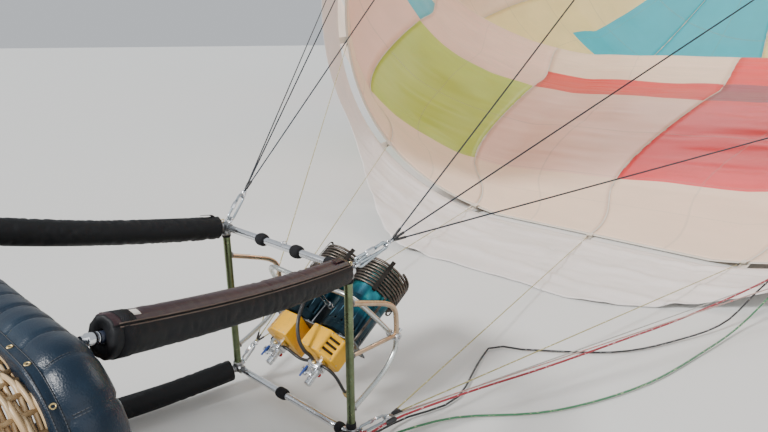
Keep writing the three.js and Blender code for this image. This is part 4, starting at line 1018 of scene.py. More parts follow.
def padded_radius(s, length, seed, theta):
    """The cover's radius in mm: seams, cross wrinkles, soft sags and gathers at both ends."""
    flap = 1.0 * (np.abs(phi)[None] < 40)
    for size, place, wide in ((2.6, 41, 1.8), (-2.0, 46, 1.6), (1.7, 50.5, 2.0)):
        flap = flap + size * np.exp(-(((np.abs(phi)[None] - place) / wide) ** 2))
    s, theta = np.broadcast_arrays(s[:, None], theta[None])
    tucks = 0
    for k, (size, turns) in enumerate([(61, 1), (83, -1), (47, 0), (109, 2), (37, -1)]):
        tucks = tucks + (1 - np.abs(np.sin(math.pi * s / size + turns * theta + seed * 1.9 + k * 2.3))) ** 5
    patchy = np.clip(0.55 + slack(s, theta * 6 / math.pi, 160, 1, 60 + seed), 0, 1.2)
    calm = np.where(np.abs(phi)[None] < 40, 0.35, 1.0)
    sags = 1.6 * slack(s, theta * 6 / math.pi, 210, 1, 70 + seed)
    from_end = np.minimum(s, length - s)
    gathers = 1.3 * np.cos(theta * 11 + seed) * np.exp(-from_end / 26)
    closing = 1 - 0.12 * np.exp(-from_end / 2.5) - 0.03 * np.exp(-from_end / 25)
    return (50.2 + flap * np.clip(from_end / 12, 0, 1) - 2.6 * tucks * patchy * calm + sags
            + gathers) * closing


for number, (name, faces_to) in enumerate(ZIP_FACES.items()):
    span = length_of(bowed(name, [32, *range(60, 900, 40), -108])) * 1000
    near_end = np.array([0, 1.5, 4, 8, 14, 22])
    stops = np.concatenate([near_end, np.arange(30, span - 30, 6.5), span - near_end[::-1]])
    theta = np.radians(phi + faces_to)
    bore_stops = np.array([span - 0.5, span * 0.66, span * 0.33, 0.5])
    radii = np.concatenate([padded_radius(stops, span, number, theta), np.full((4, len(phi)), BORE_R)])
    middle = bowed(name, np.concatenate([stops, bore_stops]) + 32)
    along = np.gradient(middle[:len(stops)], axis=0)
    along = unit(np.concatenate([along, along[[-1, -len(along) // 3, len(along) // 3, 0]]]))
    aside = unit(np.array([1.0, 0, 0]) - along[:, :1] * along)
    up = np.cross(aside, along)
    up *= np.sign(up[:, 2:3])
    ring = np.cos(theta)[None, :, None] * aside[:, None] + np.sin(theta)[None, :, None] * up[:, None]
    spots = np.stack(np.broadcast_arrays(
        theta[None] * 0.052, np.concatenate([stops, bore_stops])[:, None] / 1000), -1)
    sleeve = from_grid("sleeve", middle[:, None] + ring * radii[..., None] / 1000, spots)
    order = np.zeros(radii.shape, int)
    order[3:len(stops) - 3, (phi > -43) & (phi < 41)] = 1
    sleeve.data.polygons.foreach_set("material_index", order.ravel())
    for cloth in (cover_cloth, flap_hide):
        sleeve.data.materials.append(cloth)

    def lifted(rows, columns, lift):
        """Places some mm above the cover's cloth."""
        return middle[rows] + ring[rows, columns] * (radii[rows, columns] + lift)[..., None] / 1000

    def rows_at(distances):
        """The rows nearest to these distances from the basket's end."""
        return np.array([np.abs(stops - (span - d)).argmin() for d in distances])

    edging = []
    for turn_to in (-50.5, -41, 41, 50.5):
        column = int(np.abs(phi - turn_to).argmin())
        line = lifted(np.arange(4, len(stops) - 4, 2), column, 0.2)
        edging.append(sweep("piping", line, 0.0016, 8, piping))
    wrap = []
    for row, lift in zip(rows_at((54, 54, 24, 24)), (-1.5, 1.6, 1.6, -1.5)):
        wrap.append(middle[row] + ring[row] * (np.minimum(radii[row], 51.5)[:, None] + lift) / 1000)
    band = from_grid("band", np.array(wrap), material=black_webbing)
    tag_rows = rows_at((78, 71, 65, 58))[:, None]
    tag_columns = np.array([np.abs(phi + s).argmin() for s in (24, 16, 8, 0)])[None]
    tag, under = (lifted(tag_rows, tag_columns, lift) for lift in (0.9, -0.5))
    loops = np.concatenate([tag, under[:, ::-1]], 1)
    cloth_tag = from_grid("tag", loops, closed=False, material=webbing)
    cover = faces_out(one_piece("padded_cover_" + name, [sleeve, band, cloth_tag, *edging]))
    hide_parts("upright_cover_" + name)

# Side frames: worn stainless tube with a welded bow that carries the pivot, and a strut between.
# Heat has tinted the upper leg bronze, and bright clamps close round the pivot pins.
olive_tube = metal("tube_olive", (0.20, 0.25, 0.14), 0.24, 0.3, (0.09, 0.10, 0.05), 0.6)
bronze_tube = metal("tube_bronze", (0.62, 0.46, 0.32), 0.24, 0.3, (0.30, 0.22, 0.14), 0.5)
pale_tube = metal("tube_pale", (0.66, 0.68, 0.66), 0.2, 0.3, (0.36, 0.38, 0.34), 0.5)
cast_steel = metal("cast_steel", (0.42, 0.43, 0.44), 0.34, 0.6, (0.2, 0.2, 0.2), 0.7)
weld_steel = metal("weld_steel", (0.34, 0.33, 0.33), 0.4, 0.9, (0.14, 0.11, 0.10), 0.8, 1.0, 3.0)


def closed_bar(name, path, flat_way, radius, sides, material, body="base"):
    """A closed round bar along a flat loop, square to flat_way."""
    path = np.asarray(path, float)
    along = unit(np.roll(path, -1, 0) - np.roll(path, 1, 0))
    flat_way = unit(np.array(flat_way, float))
    out = np.cross(along, flat_way)
    turn = circle(sides)[None, :, None]
    grid = path[:, None] + radius * (np.cos(turn) * out[:, None] + np.sin(turn) * flat_way)
    steps = np.arange(len(path))[:, None] * np.linalg.norm(path[1] - path[0])
    spots = np.stack(np.broadcast_arrays(turn[:, :, 0] * radius, steps), -1)
    return from_grid(name, grid, spots, body=body, material=material)


def ring_path(middle, a, b, radius, count=28):
    """Places round a ring that lies along a and b."""
    turn = circle(count)[:, None]
    return np.array(middle) + radius * (np.cos(turn) * np.array(a) + np.sin(turn) * np.array(b))


# Where each corner's fitting points: along to the mouth, and across it
CORNER_WAYS = {
    "near_low": ((.2533, .9667, .0366), (.9673, -.2535, 0)),
    "near_high": ((.4571, .7457, .4848), (.8526, -.5226, 0)),
    "far_high": ((-.1541, .7122, .6849), (.9774, .2115, 0)),
    "far_low": ((-.4052, .8942, .1903), (.9108, .4128, 0)),
}
BOW = [(0, 680), (120, 636), (225, 592), (272, 548), (283, 490), (283, 420), (271, 352), (205, 292),
       (100, 246), (0, 212)]
bead = [(10.4, -3), (13, -2.5), (14.6, 0), (14.2, 3), (12.2, 5), (10.6, 5.2), (10.4, -3)]
clamp = [(8.6, -16), (16.5, -16), (19, -14), (19, -7), (17.4, -6), (17.4, 6), (19, 7), (19, 14), (16.5, 16),
         (8.6, 16), (8.6, -16)]
ball = [(0.01, -24), (9, -22.5), (17, -17.5), (22.5, -9), (24.5, 0), (22.5, 9), (17, 17.5), (9, 22.5),
        (0.01, 24)]
collar = [(14, 12), (21, 12), (22, 14), (22, 32), (20.6, 34), (16.8, 34), (14, 12)]
lug = [(0, 0), (5, 0), (6, 2), (6, 12), (9, 13), (9, 19), (4, 21), (0, 21)]
PEG_RADII = np.array([5, 5, 5, 6, 6, 5.6, 4]) / 1000
hexagon = [(0, 0), (11, 0), (12, 1), (12, 8), (11, 9), (0, 9)]
socket = [(0, 8), (18.5, 8), (19, 20), (17.2, 22), (17, 52), (18.6, 53), (18.6, 60), (17.4, 62), (14, 62),
          (14, 48), (0, 48)]
for side_name, side in SIDES:
    x = side * FRAME_X
    tubes = [sweep("tube", [at(x, 0, z) for z in (FRAME_FOOT, 300, 500, 700, FRAME_TOP)], 0.0165, 28,
                   olive_tube)]
    bow = spaced([at(x, y, z) for y, z in BOW], 90)
    middle = int(np.abs(bow[:, 2] - pivot.z).argmin())
    tubes.append(sweep("leg", bow[:middle + 1], 0.011, 20, bronze_tube))
    tubes.append(sweep("leg", bow[middle:], 0.011, 20, pale_tube))
    tubes.append(sweep("strut", [at(x, 0, 454), at(x, 140, 441), at(x, 278, 428)], 0.009, 18, bronze_tube))
    for z, way, size in ((680, (0, 1, -0.12), 1.0), (454, (0, 1, -0.09), 0.82), (210, (0, 1, 0.36), 1.0)):
        tubes.append(spun("bead", [(r * size, h) for r, h in bead], at(x, 17, z + 17 * way[2]), way,
                          weld_steel, 24))
    tubes.append(spun("clamp", clamp, at(x, *PIVOT[1:]), (1, 0, 0), chrome, 32))
    tubes.append(spun("lug", lug, at(x, 298, 431), (0, 0.8, 0.6), chrome, 16))
    for name in CORNER_WAYS:
        if not name.startswith(side_name):
            continue
        z, up = (FRAME_TOP, -1) if name.endswith("high") else (FRAME_FOOT, 1)
        way, across = (np.array(v) for v in CORNER_WAYS[name])
        tubes.append(spun("ball", ball, at(x, 0, z), (0, 0, 1), cast_steel, 28))
        tubes.append(spun("collar", collar, at(x, 0, z), (0, 0, up), cast_steel, 28))
        tubes.append(spun("collar", [(r - 1.6, h) for r, h in collar], at(x, 0, z), (-side, 0, 0),
                          cast_steel, 28))
        toward_rim = bowed(name, [0, 20])
        tubes.append(spun("socket", socket, at(x, 0, z), toward_rim[1] - toward_rim[0], cast_steel, 28))
        middle_of_eye = np.array(at(x, 0, z)) + way * 0.034
        eye = ring_path(middle_of_eye, way, across, 0.015, 30)
        tubes.append(closed_bar("eye", eye, np.cross(way, across), 0.005, 12, chrome))
        tubes.append(spun("bolt", hexagon, at(x + side * 22, 0, z), (side, 0, 0), chrome, 6))
    if side_name == "near":
        for peg in ((426.9, 40.1, 101.9), (416.7, 40.7, 61.8), (366.4, 53.9, 57.8)):
            start, end = np.array(at(x, 0, FRAME_FOOT)), np.array(at(*peg))
            stops = [start + (end - start) * t for t in (0.2, 0.5, 0.8, 0.82, 0.9, 0.97, 1)]
            tubes.append(sweep("peg", stops, PEG_RADII, 14, chrome))
    frame_piece = one_piece("welded_frame_" + side_name, tubes)
    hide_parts("side_frame_" + side_name)

# Rails: two bright stainless cross tubes between the side frames. Wound black straps pad them and
# tie the hoses, and a small steel ring on the upper one takes a tie line.
bright_tube = metal("tube_bright", (0.80, 0.82, 0.85), 0.14, 0.25, (0.5, 0.52, 0.55), 0.5)


def wound(start, end, inner, outer, seed, material=None):
    """A strap wound round a tube in lumpy turns, closed, between two places in mm."""
    start, end = np.array(start, float), np.array(end, float)
    long = np.linalg.norm(end - start)
    way = unit(end - start)
    side = unit(np.cross(way, (0, 0, 1) if abs(way[2]) < 0.9 else (1, 0, 0)))
    other = np.cross(way, side)
    t, turn = np.linspace(0, 1, 22), circle(32)
    full = np.clip(np.sin(t * math.pi), 0, 1) ** 0.35
    lumps = slack(t[:, None] * long * 6, turn[None] * 6 / math.pi, 90, 1, seed)
    edge = np.abs(np.sin(turn[None] * 0.5 + t[:, None] * long / 9 * math.pi + seed))
    radii = inner + (outer - inner) * full[:, None] * (0.86 + 0.10 * lumps + 0.08 * edge)
    ring = np.cos(turn)[:, None] * side + np.sin(turn)[:, None] * other
    outside = start + t[:, None, None] * (end - start) + ring[None] * radii[..., None]
    inside = start + t[::-1][:, None, None][[0, -1]] * (end - start) + ring[None] * (inner - 0.3)
    grid = np.concatenate([outside, inside]) / 1000 + np.array(zero)
    return faces_out(from_grid("wound", grid, material=material or black_webbing))


for name, z, straps in [
    ("top_rail", FRAME_TOP, [(-142, -92, 28), (74, 124, 28), (262, 322, 27)]),
    ("bottom_rail", FRAME_FOOT, [(-78, -18, 26), (292, 330, 25)]),
]:
    rail = sweep("rail_" + name, [at(x, 0, z) for x in np.linspace(-348.5, 348.5, 9)], 0.015, 32, bright_tube)
    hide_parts(name)
    turns = [wound((a, 0, z), (b, 0, z), 15.2, size, 3 + i) for i, (a, b, size) in enumerate(straps)]
    one_piece("straps_" + name, turns)
tie_ring = closed_bar("tie_ring", ring_path(at(22, 0, 828), (0, 1, 0), (0, 0, 1), 0.0135), (1, 0, 0),
                      0.0022, 10, chrome)
tapes = [wound((x, 0, low), (x, 0, high), 16.6, outer, seed) for x, low, high, outer, seed in [
    (FRAME_X, 786, 764, 20.5, 11), (-FRAME_X, 786, 770, 20, 12), (FRAME_X, 131, 160, 21, 13)]]
one_piece("corner_tape", tapes)

# Gimbal yoke: one bent stainless tube between the pivots, with hubs and pins welded in its ends
# and a bored boss at the top in which the burners' post turns.
GIMBAL_TILT = 36
gimbal_turn = Matrix.Rotation(math.radians(GIMBAL_TILT), 3, "X")


def on_gimbal(x, h):
    """A place given in the gimbal's own millimetres, with h along the swivel."""
    return pivot + gimbal_turn @ (Vector((x, 0, h)) / 1000)


YOKE = [(345, -10), (342, 42), (312, 140), (282, 205), (228, 245), (100, 245)]
swivel_way = gimbal_turn @ Vector((0, 0, 1))
bends = [on_gimbal(x, h) for x, h in YOKE + [(-x, h) for x, h in YOKE[::-1]]]
parts = [sweep("yoke", spaced(bends, 140), 0.011, 20, pale_tube, "gimbal")]
hub = [(0, -12), (14, -12), (15, -10.5), (15, 8.5), (14, 10), (8, 10), (8, 39), (7, 40), (0, 40)]
for side in (-1, 1):
    parts.append(spun("hub", hub, on_gimbal(side * 345, 0), (side, 0, 0), chrome, 28, "gimbal"))
    parts.append(spun("bead", bead, on_gimbal(side * 344, 15), swivel_way, weld_steel, 24, "gimbal"))
boss = [(7.6, -15), (14, -15), (15, -13.5), (15, 13.5), (14, 15), (7.6, 15), (7.6, -15)]
parts.append(spun("boss", boss, on_gimbal(0, 245), swivel_way, cast_steel, 32, "gimbal"))
yoke_piece = one_piece("bent_yoke", parts)
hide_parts("gimbal_yoke")

# Burner base: a folded stainless plate under both burners with a web to the swivel's post.
# Holes lighten it, and a row of eight bolts along each edge holds the burners.
burner_place = Matrix.Translation(pivot) @ burner_turn.to_4x4()
burner_side, burner_way, burner_up = (burner_turn @ Vector(way) for way in ((1, 0, 0), (0, 1, 0), (0, 0, 1)))


def turned(name, profile, x, y, z, way, material, sides):
    """A turned piece of the burners, at a place in their own millimetres."""
    return spun(name, profile, on_burners(x, y, z), way, material, sides, "burners")


def broken_edges(piece, width, segments, angle):
    """Breaks this picked piece's edges and smooths what bends less than an angle."""
    edges = piece.modifiers.new("edges", "BEVEL")
    edges.width, edges.segments = width, segments
    bpy.ops.object.modifier_apply(modifier="edges")
    bpy.ops.object.shade_smooth_by_angle(angle=math.radians(angle))


def machined(name, x, y, z, bevel, place, material, body="burners", segments=2):
    """A block between these mm, its edges broken, set at a place and left there for good."""
    bpy.ops.object.select_all(action="DESELECT")
    bpy.ops.mesh.primitive_cube_add(size=1)
    piece = bpy.context.object
    piece.name = piece.data.name = name
    middle = [(a + b) / 2 for a, b in (x, y, z)]
    piece.data.transform(Matrix.Translation(middle) @ Matrix.Diagonal([b - a for a, b in (x, y, z)] + [1]))
    broken_edges(piece, bevel, segments, 35)
    piece.data.transform(place @ Matrix.Scale(0.001, 4))
    piece.data.materials.append(material)
    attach(piece, body)
    piece.select_set(False)
    return piece


def cut_out(piece, tools):
    """Cuts these closed pieces out of another and removes them."""
    for tool in tools:
        pick(piece)
        hole = piece.modifiers.new("hole", "BOOLEAN")
        hole.operation, hole.object, hole.solver = "DIFFERENCE", tool, "EXACT"
        bpy.ops.object.modifier_apply(modifier="hole")
        bpy.data.objects.remove(tool, do_unlink=True)
    return piece


sheet_steel = metal("sheet_steel", (0.20, 0.215, 0.23), 0.34, 0.5, (0.07, 0.07, 0.07), 0.7)
plate = machined("plate", (-262, 262), (-125.7, -118.3), (-62, 62), 1.5, burner_place, sheet_steel)
drill = [(0, -12), (13, -12), (13, 12), (0, 12)]
holes = [turned("drill", drill, x, -122, z, burner_way, sheet_steel, 24)
         for x in (-244, 244) for z in (-36, 36)]
plate = cut_out(plate, holes)
web = machined("web", (-4, 4), (-118.5, -2), (-62, 62), 1.5, burner_place, sheet_steel)
POST_LEAN = math.radians(GIMBAL_TILT - BURNER_TILT)


def on_post(height):
    """A place so many mm along the swivel's post."""
    return on_burners(0, -height * math.sin(POST_LEAN), height * math.cos(POST_LEAN))


post = [(0, -30), (8.5, -30), (10, -28), (10, 225.5), (8.5, 227), (7, 227), (7, 262), (10.6, 263),
        (11, 265), (11, 269.5), (9.5, 271), (0, 271)]
post_collar = [(10.1, 30), (14, 31), (14.5, 33), (14.5, 47), (13.5, 49), (10.1, 49), (10.1, 30)]
base_parts = [plate, web, spun("post", post, on_post(0), swivel_way, pale_tube, 28, "burners"),
              spun("collar", post_collar, on_post(0), swivel_way, chrome, 24, "burners")]
bolt_head = [(0, 0), (5, 0), (5.6, 0.8), (5.6, 4), (4.6, 5), (0, 5)]
for x in (-224, -176, -76, -28, 28, 76, 176, 224):
    for z in (-52, 52):
        base_parts.append(turned("bolt", bolt_head, x, -118.4, z, burner_way, chrome, 6))
base_piece = one_piece("folded_base", base_parts)
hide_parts("burner_base")

# Burner cans: thin stainless sheet rolled round with a beaded rim, tinted teal and petrol blue by the heat
# and darker, near black, toward the base, with a row of air holes near the base. A ring of jets and a pilot
# cup stand inside.
heat_tint, tree, shader = finish_of("heat_tinted_sheet", Metallic=0.75)
settled = node(tree, "Mapping", {"vector_type": "TEXTURE"}, Vector=place_of(tree), Location=tuple(pivot),
               Rotation=(math.radians(BURNER_TILT), 0, 0)).outputs[0]
along_can = node(tree, "SeparateXYZ", Vector=settled).outputs["Y"]
clouds = noise(tree, settled, 9.0, 6.0, Distortion=0.8)
streaks = noise(tree, mapped(tree, settled, (60, 5, 60)), 1.0, 4.0)
uneven = times(tree, calc(tree, "SUBTRACT", clouds, 0.5), 0.9)
tint_along_can = plus(tree, ranged(tree, along_can, From_Min=-0.12, From_Max=0.27), uneven)
# The ramp runs from near black at the can's base through petrol and teal to mint, and bronze at the coil end
ramp = node(tree, "ValToRGB", Fac=tint_along_can)
stops = ramp.color_ramp.elements
for place_on in (0.3, 0.5, 0.68, 0.86):
    stops.new(place_on)
for stop, color in zip(stops, [(0.004, 0.006, 0.01), (0.006, 0.025, 0.045), (0.010, 0.09, 0.13),
                               (0.02, 0.25, 0.28), (0.14, 0.42, 0.36), (0.30, 0.22, 0.14)]):
    stop.color = (*color, 1)
streaked = times(tree, streaks, 0.45)
dress(tree, shader, blended(tree, streaked, ramp.outputs[0], (0.01, 0.05, 0.06)),
      (streaks, 0.2, 0.45), (0.25, 0.001, streaks))
soot = metal("sooty_steel", (0.05, 0.045, 0.04), 0.55, 0.5, (0.02, 0.016, 0.013), 0.7)
CAN_APART = 126
jet = [(0, 0), (3, 0), (3, 7), (1.4, 10), (0, 10)]
pilot = [(0, 0), (12, 0), (13, 30), (15, 34), (13.5, 35), (11, 30), (11, 3), (0, 3)]
can_profile = [(0, 0), (96, 0), (100, 4), (100, 30), (98.4, 32), (98.4, 37), (100, 39), (100, 190),
               (98.9, 192), (98.9, 195), (100, 197), (100, 370), (101.6, 373), (102, 377), (100.5, 380),
               (97.5, 379.5), (96, 376), (96, 12), (0, 12)]
for name, side in SIDES:
    x = side * CAN_APART
    shell = turned("shell", can_profile, x, -118, 0, burner_way, heat_tint, 64)
    air = []
    for turn in 2 * math.pi * (np.arange(18) + 0.5) / 18:
        out = burner_turn @ Vector((math.cos(turn), 0, math.sin(turn)))
        air.append(turned("air", [(0, 88), (5.5, 88), (5.5, 108), (0, 108)], x, -68, 0, out, heat_tint, 12))
    shell = cut_out(shell, [one_piece("air_holes", air)])
    inside = [closed_bar("jets", ring_path(on_burners(x, -40, 0), burner_side, burner_up, r, 36), burner_way,
                         0.006, 10, soot, "burners") for r in (0.03, 0.058)]
    for turn in circle(16):
        inside.append(turned("jet", jet, x + 58 * math.cos(turn), -35, 58 * math.sin(turn), burner_way,
                             brass, 8))
    inside.append(turned("pilot", pilot, x, -106, 0, burner_way, chrome, 24))
    can_piece = one_piece("rolled_can_" + name, [shell, *inside])
    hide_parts("burner_can_" + name)

# Burner coils: nine turns of stainless tube round the front of each can, where the fuel boils off.
# The flame has browned them, and flat steel straps clip the turns together.
TURNS, TURN_PITCH, COIL_R = 9, 16, 118
# A clip's radius and distance along the can
CLIP = [(111.2, 128), (111.2, 122), (118, 119), (125.6, 123), (126.2, 130), (126.2, 200), (126.2, 268),
        (125.6, 285), (118, 288.5), (111.2, 285), (111.2, 277)]
browned = metal("browned_tube", (0.15, 0.125, 0.105), 0.36, 0.3, (0.03, 0.024, 0.02), 0.8, 1.0, 1.6)
for name, side in SIDES:
    x = side * CAN_APART
    leg = math.radians(18 if side > 0 else 162)
    route = [(math.cos(leg) * COIL_R, y, math.sin(leg) * COIL_R) for y in (-117.8, -60, 0, 60, 105, 118)]
    for step in range(TURNS * 24 + 1):
        turn = leg + side * 2 * math.pi * step / 24
        route.append((COIL_R * math.cos(turn), 132 + TURN_PITCH * step / 24, COIL_R * math.sin(turn)))
    parts = [sweep("turns", [on_burners(x + i, j, k) for i, j, k in route], 0.0062, 12, browned, "burners")]
    for degrees in (52, 128, 232, 308):
        turn = math.radians(degrees)
        out = burner_turn @ Vector((math.cos(turn), 0, math.sin(turn)))
        places = np.array([on_burners(x + r * math.cos(turn), y, r * math.sin(turn)) for r, y in CLIP])
        square = np.cross(np.gradient(places, axis=0), np.cross(np.array(out), np.array(burner_way)))
        parts.append(ribbon("clip", places, square, 0.0095, 0.002, soot, "burners"))
    coil_piece = one_piece("wound_coil_" + name, parts)
    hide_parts("burner_coil_" + name)

# Burner boxes: folded sheet covers over the pilot valves, powder coated amber, with three cooling
# slots on the outer chamfer, riveted flanges and a few scratches down to the grey primer.
# A thin dark plate of sooty steel sits in each slot: painted shadow inside the slots.
amber, tree, shader = finish_of("amber_coat", Coat_Weight=0.08, Coat_Roughness=0.25)
place = place_of(tree)
grime = noise(tree, place, 22.0, 6.0, Roughness=0.65)
chips = calc(tree, "GREATER_THAN", noise(tree, place, 140.0, 3.0), 0.71)
soiled = ranged(tree, grime, From_Min=0.45, From_Max=0.8, To_Max=0.6)
tone = blended(tree, soiled, (0.84, 0.43, 0.006), (0.55, 0.27, 0.01))
dress(tree, shader, blended(tree, chips, tone, (0.25, 0.24, 0.22)), (grime, 0.3, 0.6),
      (0.15, 0.0006, noise(tree, place, 900.0, 1.0)))
# Each rivet's place across and up on a box, and the way it faces
RIVETS = [(85, 0, (1, 0)), (-30, 90, (0, 1)), (0, 90, (0, 1)), (-60, 90, (0, 1)), (-30, -90, (0, -1)),
          (76, 47, (50, 65)), (32, 81, (50, 65))]
rivet = [(0, 1.4), (1.6, 1.2), (2.8, 0.5), (3.2, -0.2), (0, -0.2)]
BOX_OUTLINE = [(-80, 90), (20, 90), (85, 40), (85, -38), (20, -90), (-80, -90)]
for name, side in SIDES:
    outline = [(side * (CAN_APART + out), up) for out, up in BOX_OUTLINE]
    mesh = bpy.data.meshes.new("box")
    ends = [(x, y, z) for y in (-236, -126) for x, z in outline]
    walls = [(i, (i + 1) % 6, (i + 1) % 6 + 6, i + 6) for i in range(6)]
    mesh.from_pydata(ends, [], [(5, 4, 3, 2, 1, 0), (6, 7, 8, 9, 10, 11), *walls])
    cover_box = bpy.data.objects.new("box", mesh)
    scene.collection.objects.link(cover_box)
    mesh.transform(burner_place @ Matrix.Scale(0.001, 4))
    mesh.materials.append(amber)
    faces_out(cover_box)
    pick(cover_box)
    broken_edges(cover_box, 0.004, 3, 30)
    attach(cover_box, "burners")
    tilted = (burner_place @ Matrix.Translation(Vector((side * (CAN_APART + 52.5), -181, 65)) / 1000)
              @ Matrix.Rotation(side * math.atan2(50, 65), 4, "Y"))
    # Each slot gets a dark plate of the sooty steel: painted shadow inside the slot
    cuts, slot_shadows = [], []
    for y in (-26, 0, 26):
        cuts.append(machined("slot", (-27, 27), (y - 6.5, y + 6.5), (-9, 9), 3, tilted, soot))
        slot_shadows.append(machined("shade", (-26.4, 26.4), (y - 6, y + 6), (-10, -7), 0.5, tilted, soot))
    parts = [cut_out(cover_box, cuts), *slot_shadows]
    for y in (-228, -134):
        for out, up, way in RIVETS:
            way = burner_turn @ Vector((side * way[0], 0, way[1]))
            parts.append(turned("rivet", rivet, side * (CAN_APART + out), y, up, way, cast_steel, 10))
    box_piece = one_piece("folded_box_" + name, parts)
    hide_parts("burner_box_" + name)

# Blast valves: polished bodies behind each box, with a clamped main valve, a smaller liquid valve,
# a blue lever, a red hand wheel, a black knob and a brass gauge.
red_knob = metal("red_knob", (0.55, 0.02, 0.02), 0.3, 0.1, (0.3, 0.01, 0.01), 0.5, 0.0)
blue_lever = metal("blue_lever", (0.02, 0.07, 0.32), 0.35, 0.1, (0.02, 0.03, 0.1), 0.5, 0.0)
black_knob = metal("black_knob", (0.015, 0.015, 0.016), 0.35, 0.2, (0.04, 0.04, 0.04), 0.5, 0.0)
barrel = [(0, 350), (14.5, 350), (16.8, 347.5), (16.8, 338), (15, 337), (15, 332), (17, 331), (17, 320),
          (15.4, 318), (15.4, 296), (17, 294), (17, 276), (0, 276)]
hand_wheel = [(0, 0), (3.5, 0), (3.5, 7), (8.5, 8), (9.5, 10), (9.5, 15), (8, 17), (0, 17)]
knob = [(0, 0), (4, 0), (4, 5), (9, 6), (10, 8), (10, 14), (9, 16), (0, 16)]
gauge = [(0, 0), (4, 0), (4, 3), (8, 4), (8, 9), (6.5, 10), (0, 10)]
clamp_bolt = [(0, 0), (3.4, 0), (3.8, 0.6), (3.8, 3), (3, 3.6), (0, 3.6)]
small_barrel = [(0, 326), (9, 326), (11, 324), (11, 314), (9.4, 313), (9.4, 292), (11, 290), (11, 275),
                (0, 275)]
for name, side in SIDES:
    x = side * CAN_APART
    seat = burner_place @ Matrix.Translation((x / 1000, 0, 0))
    aside = seat @ Matrix.Translation((-0.018, 0, 0))
    parts = [
        machined("body", (-32, 32), (-276, -236.3), (-30, 28), 3, seat, chrome),
        machined("step", (-26, 26), (-282, -274), (-24, 22), 2, seat, chrome),
        machined("clamp", (-40, 24), (-318, -296), (10, 24), 2, seat, chrome),
        machined("lever", (-5, 5), (-344, -290), (26, 30), 1.5, aside, blue_lever),
        turned("main", barrel, x + 8, 0, -14, -burner_way, chrome, 32),
        turned("liquid", small_barrel, x - 18, 0, 14, -burner_way, chrome, 28),
        turned("hand_wheel", hand_wheel, x + 8, -284, -28, -burner_up, red_knob, 18),
        turned("knob", knob, x - 32, -250 if side < 0 else -262, 12, -burner_side, black_knob, 20),
        turned("gauge", gauge, x + 4, -266, 28, burner_up, brass, 20),
    ]
    for bolt_x in (-34, -2, 18):
        parts.append(turned("bolt", clamp_bolt, x + bolt_x, -307, 24, burner_up, cast_steel, 6))
    valve_piece = one_piece("polished_valve_" + name, parts)
    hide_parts("blast_valve_" + name)

# Keepers: a strap of brown hide from each high cover's end round the corner, with a brass ring
keepers = []
for name, side in (("near_high", 1), ("far_high", -1)):
    stops = bowed(name, [100, 85, 70, 56, 46, 38])
    above = np.array([55, 55.5, 55.5, 54, 46, 34]) / 1000
    outline = stops + np.stack([0 * above + side * 0.012, 0 * above, above], 1)
    tip = np.array(at(side * 389, -14, 842))
    route = spaced([*outline, outline[-1] * 0.4 + tip * 0.6 + np.array([0, 0, 0.004]), tip], 26)
    keepers.append(ribbon("strap", route, np.repeat([[side * 0.25, 0.2, 1.0]], 26, 0), 0.011, 0.0025,
                          flap_hide))
    eye = ring_path(tip + np.array([0, 0.008, 0.001]), (1, 0, 0), (0, 0.8, 0.6), 0.010)
    keepers.append(closed_bar("keeper_ring", eye, (0, -0.6, 0.8), 0.002, 10, brass))
one_piece("cover_keepers", keepers)

# Screw links: zinc plated steel ovals with a screwed sleeve, one from each corner's eye to its
# ring. The near high corner has two side by side, spread at the frame.
sleeve = [(5.6, -17), (8.6, -17), (9.4, -15), (9.4, 15), (8.6, 17), (5.6, 17), (5.6, -17)]
screw = [(5.6, 17), *[(5.6 + 0.7 * (i % 2), 17 + i * 0.8) for i in range(1, 14)], (5.3, 28.5), (5.3, 17)]
zinc = metal("zinc_steel", (0.50, 0.56, 0.60), 0.24, 0.3, (0.24, 0.27, 0.29), 0.6)
for name, (start, ring, _) in CORNER_PLACES.items():
    way, across = unit(np.array(CORNER_WAYS[name]))
    over = np.cross(across, way)
    links = []
    for lift, lean in (((9, 0.085), (-9, -0.085)) if name == "near_high" else ((0, 0),)):
        heading = way * math.cos(lean) - over * math.sin(lean)
        beside = over * math.cos(lean) + way * math.sin(lean)
        first = np.array(at(*start)) + over * lift / 1000
        bend = 0.017 if lift == 0 else 0.012
        path = []
        for offset, begin in ((bend, 90), (bend + 0.130 - 2 * bend, 270)):
            for step in range(13):
                turn = math.radians(begin + 15 * step)
                ahead = heading * (offset + bend * math.cos(turn))
                path.append(first + ahead + beside * bend * math.sin(turn))
        links.append(closed_bar("link", path, np.cross(heading, beside), 0.0055, 14, zinc))
        gate = Vector(first + heading * 0.065 + beside * bend)
        links.append(spun("sleeve", sleeve, gate, heading, chrome, 6))
        links.append(spun("screw", screw, gate, heading, zinc, 16))
    link_piece = one_piece("screw_link_" + name, links)
    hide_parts("carabiner_" + name)

# Flying wires: stranded steel in dark plastic above, braided aramid cord below. Each is crimped
# under a black sleeve at the ring and at its loop on the mouth.
stranded, tree, shader = finish_of("stranded_wire", Metallic=0.7, Roughness=0.38)
spot = node(tree, "SeparateXYZ", Vector=uv_of(tree)).outputs
turned_by = [times(tree, spot[way], pitch) for way, pitch in (("X", 320.0), ("Y", 60.0))]
slant = plus(tree, *turned_by)
lay_and_groove_shade = calc(tree, "PINGPONG", slant, 0.5)
# Darker in the grooves of the lay: painted shade between the strands
dress(tree, shader, blended(tree, lay_and_groove_shade, (0.015, 0.018, 0.025), (0.10, 0.115, 0.14)), None, (0.7, 0.0008, lay_and_groove_shade))
WIRE_R, CRIMP_RADII = 0.003, np.array([3.2, 4.6, 5, 5, 4.6, 3.2]) / 1000
yellow_cord = braid("aramid_cord", (0.74, 0.64, 0.20), (0.85, 0.8, 0.5), WIRE_R)
tracer_cord = braid("tracer_cord", (0.80, 0.52, 0.44), (0.7, 0.04, 0.05), WIRE_R)
white_cord = braid("white_cord", (0.80, 0.78, 0.70), (0.5, 0.5, 0.45), WIRE_R)
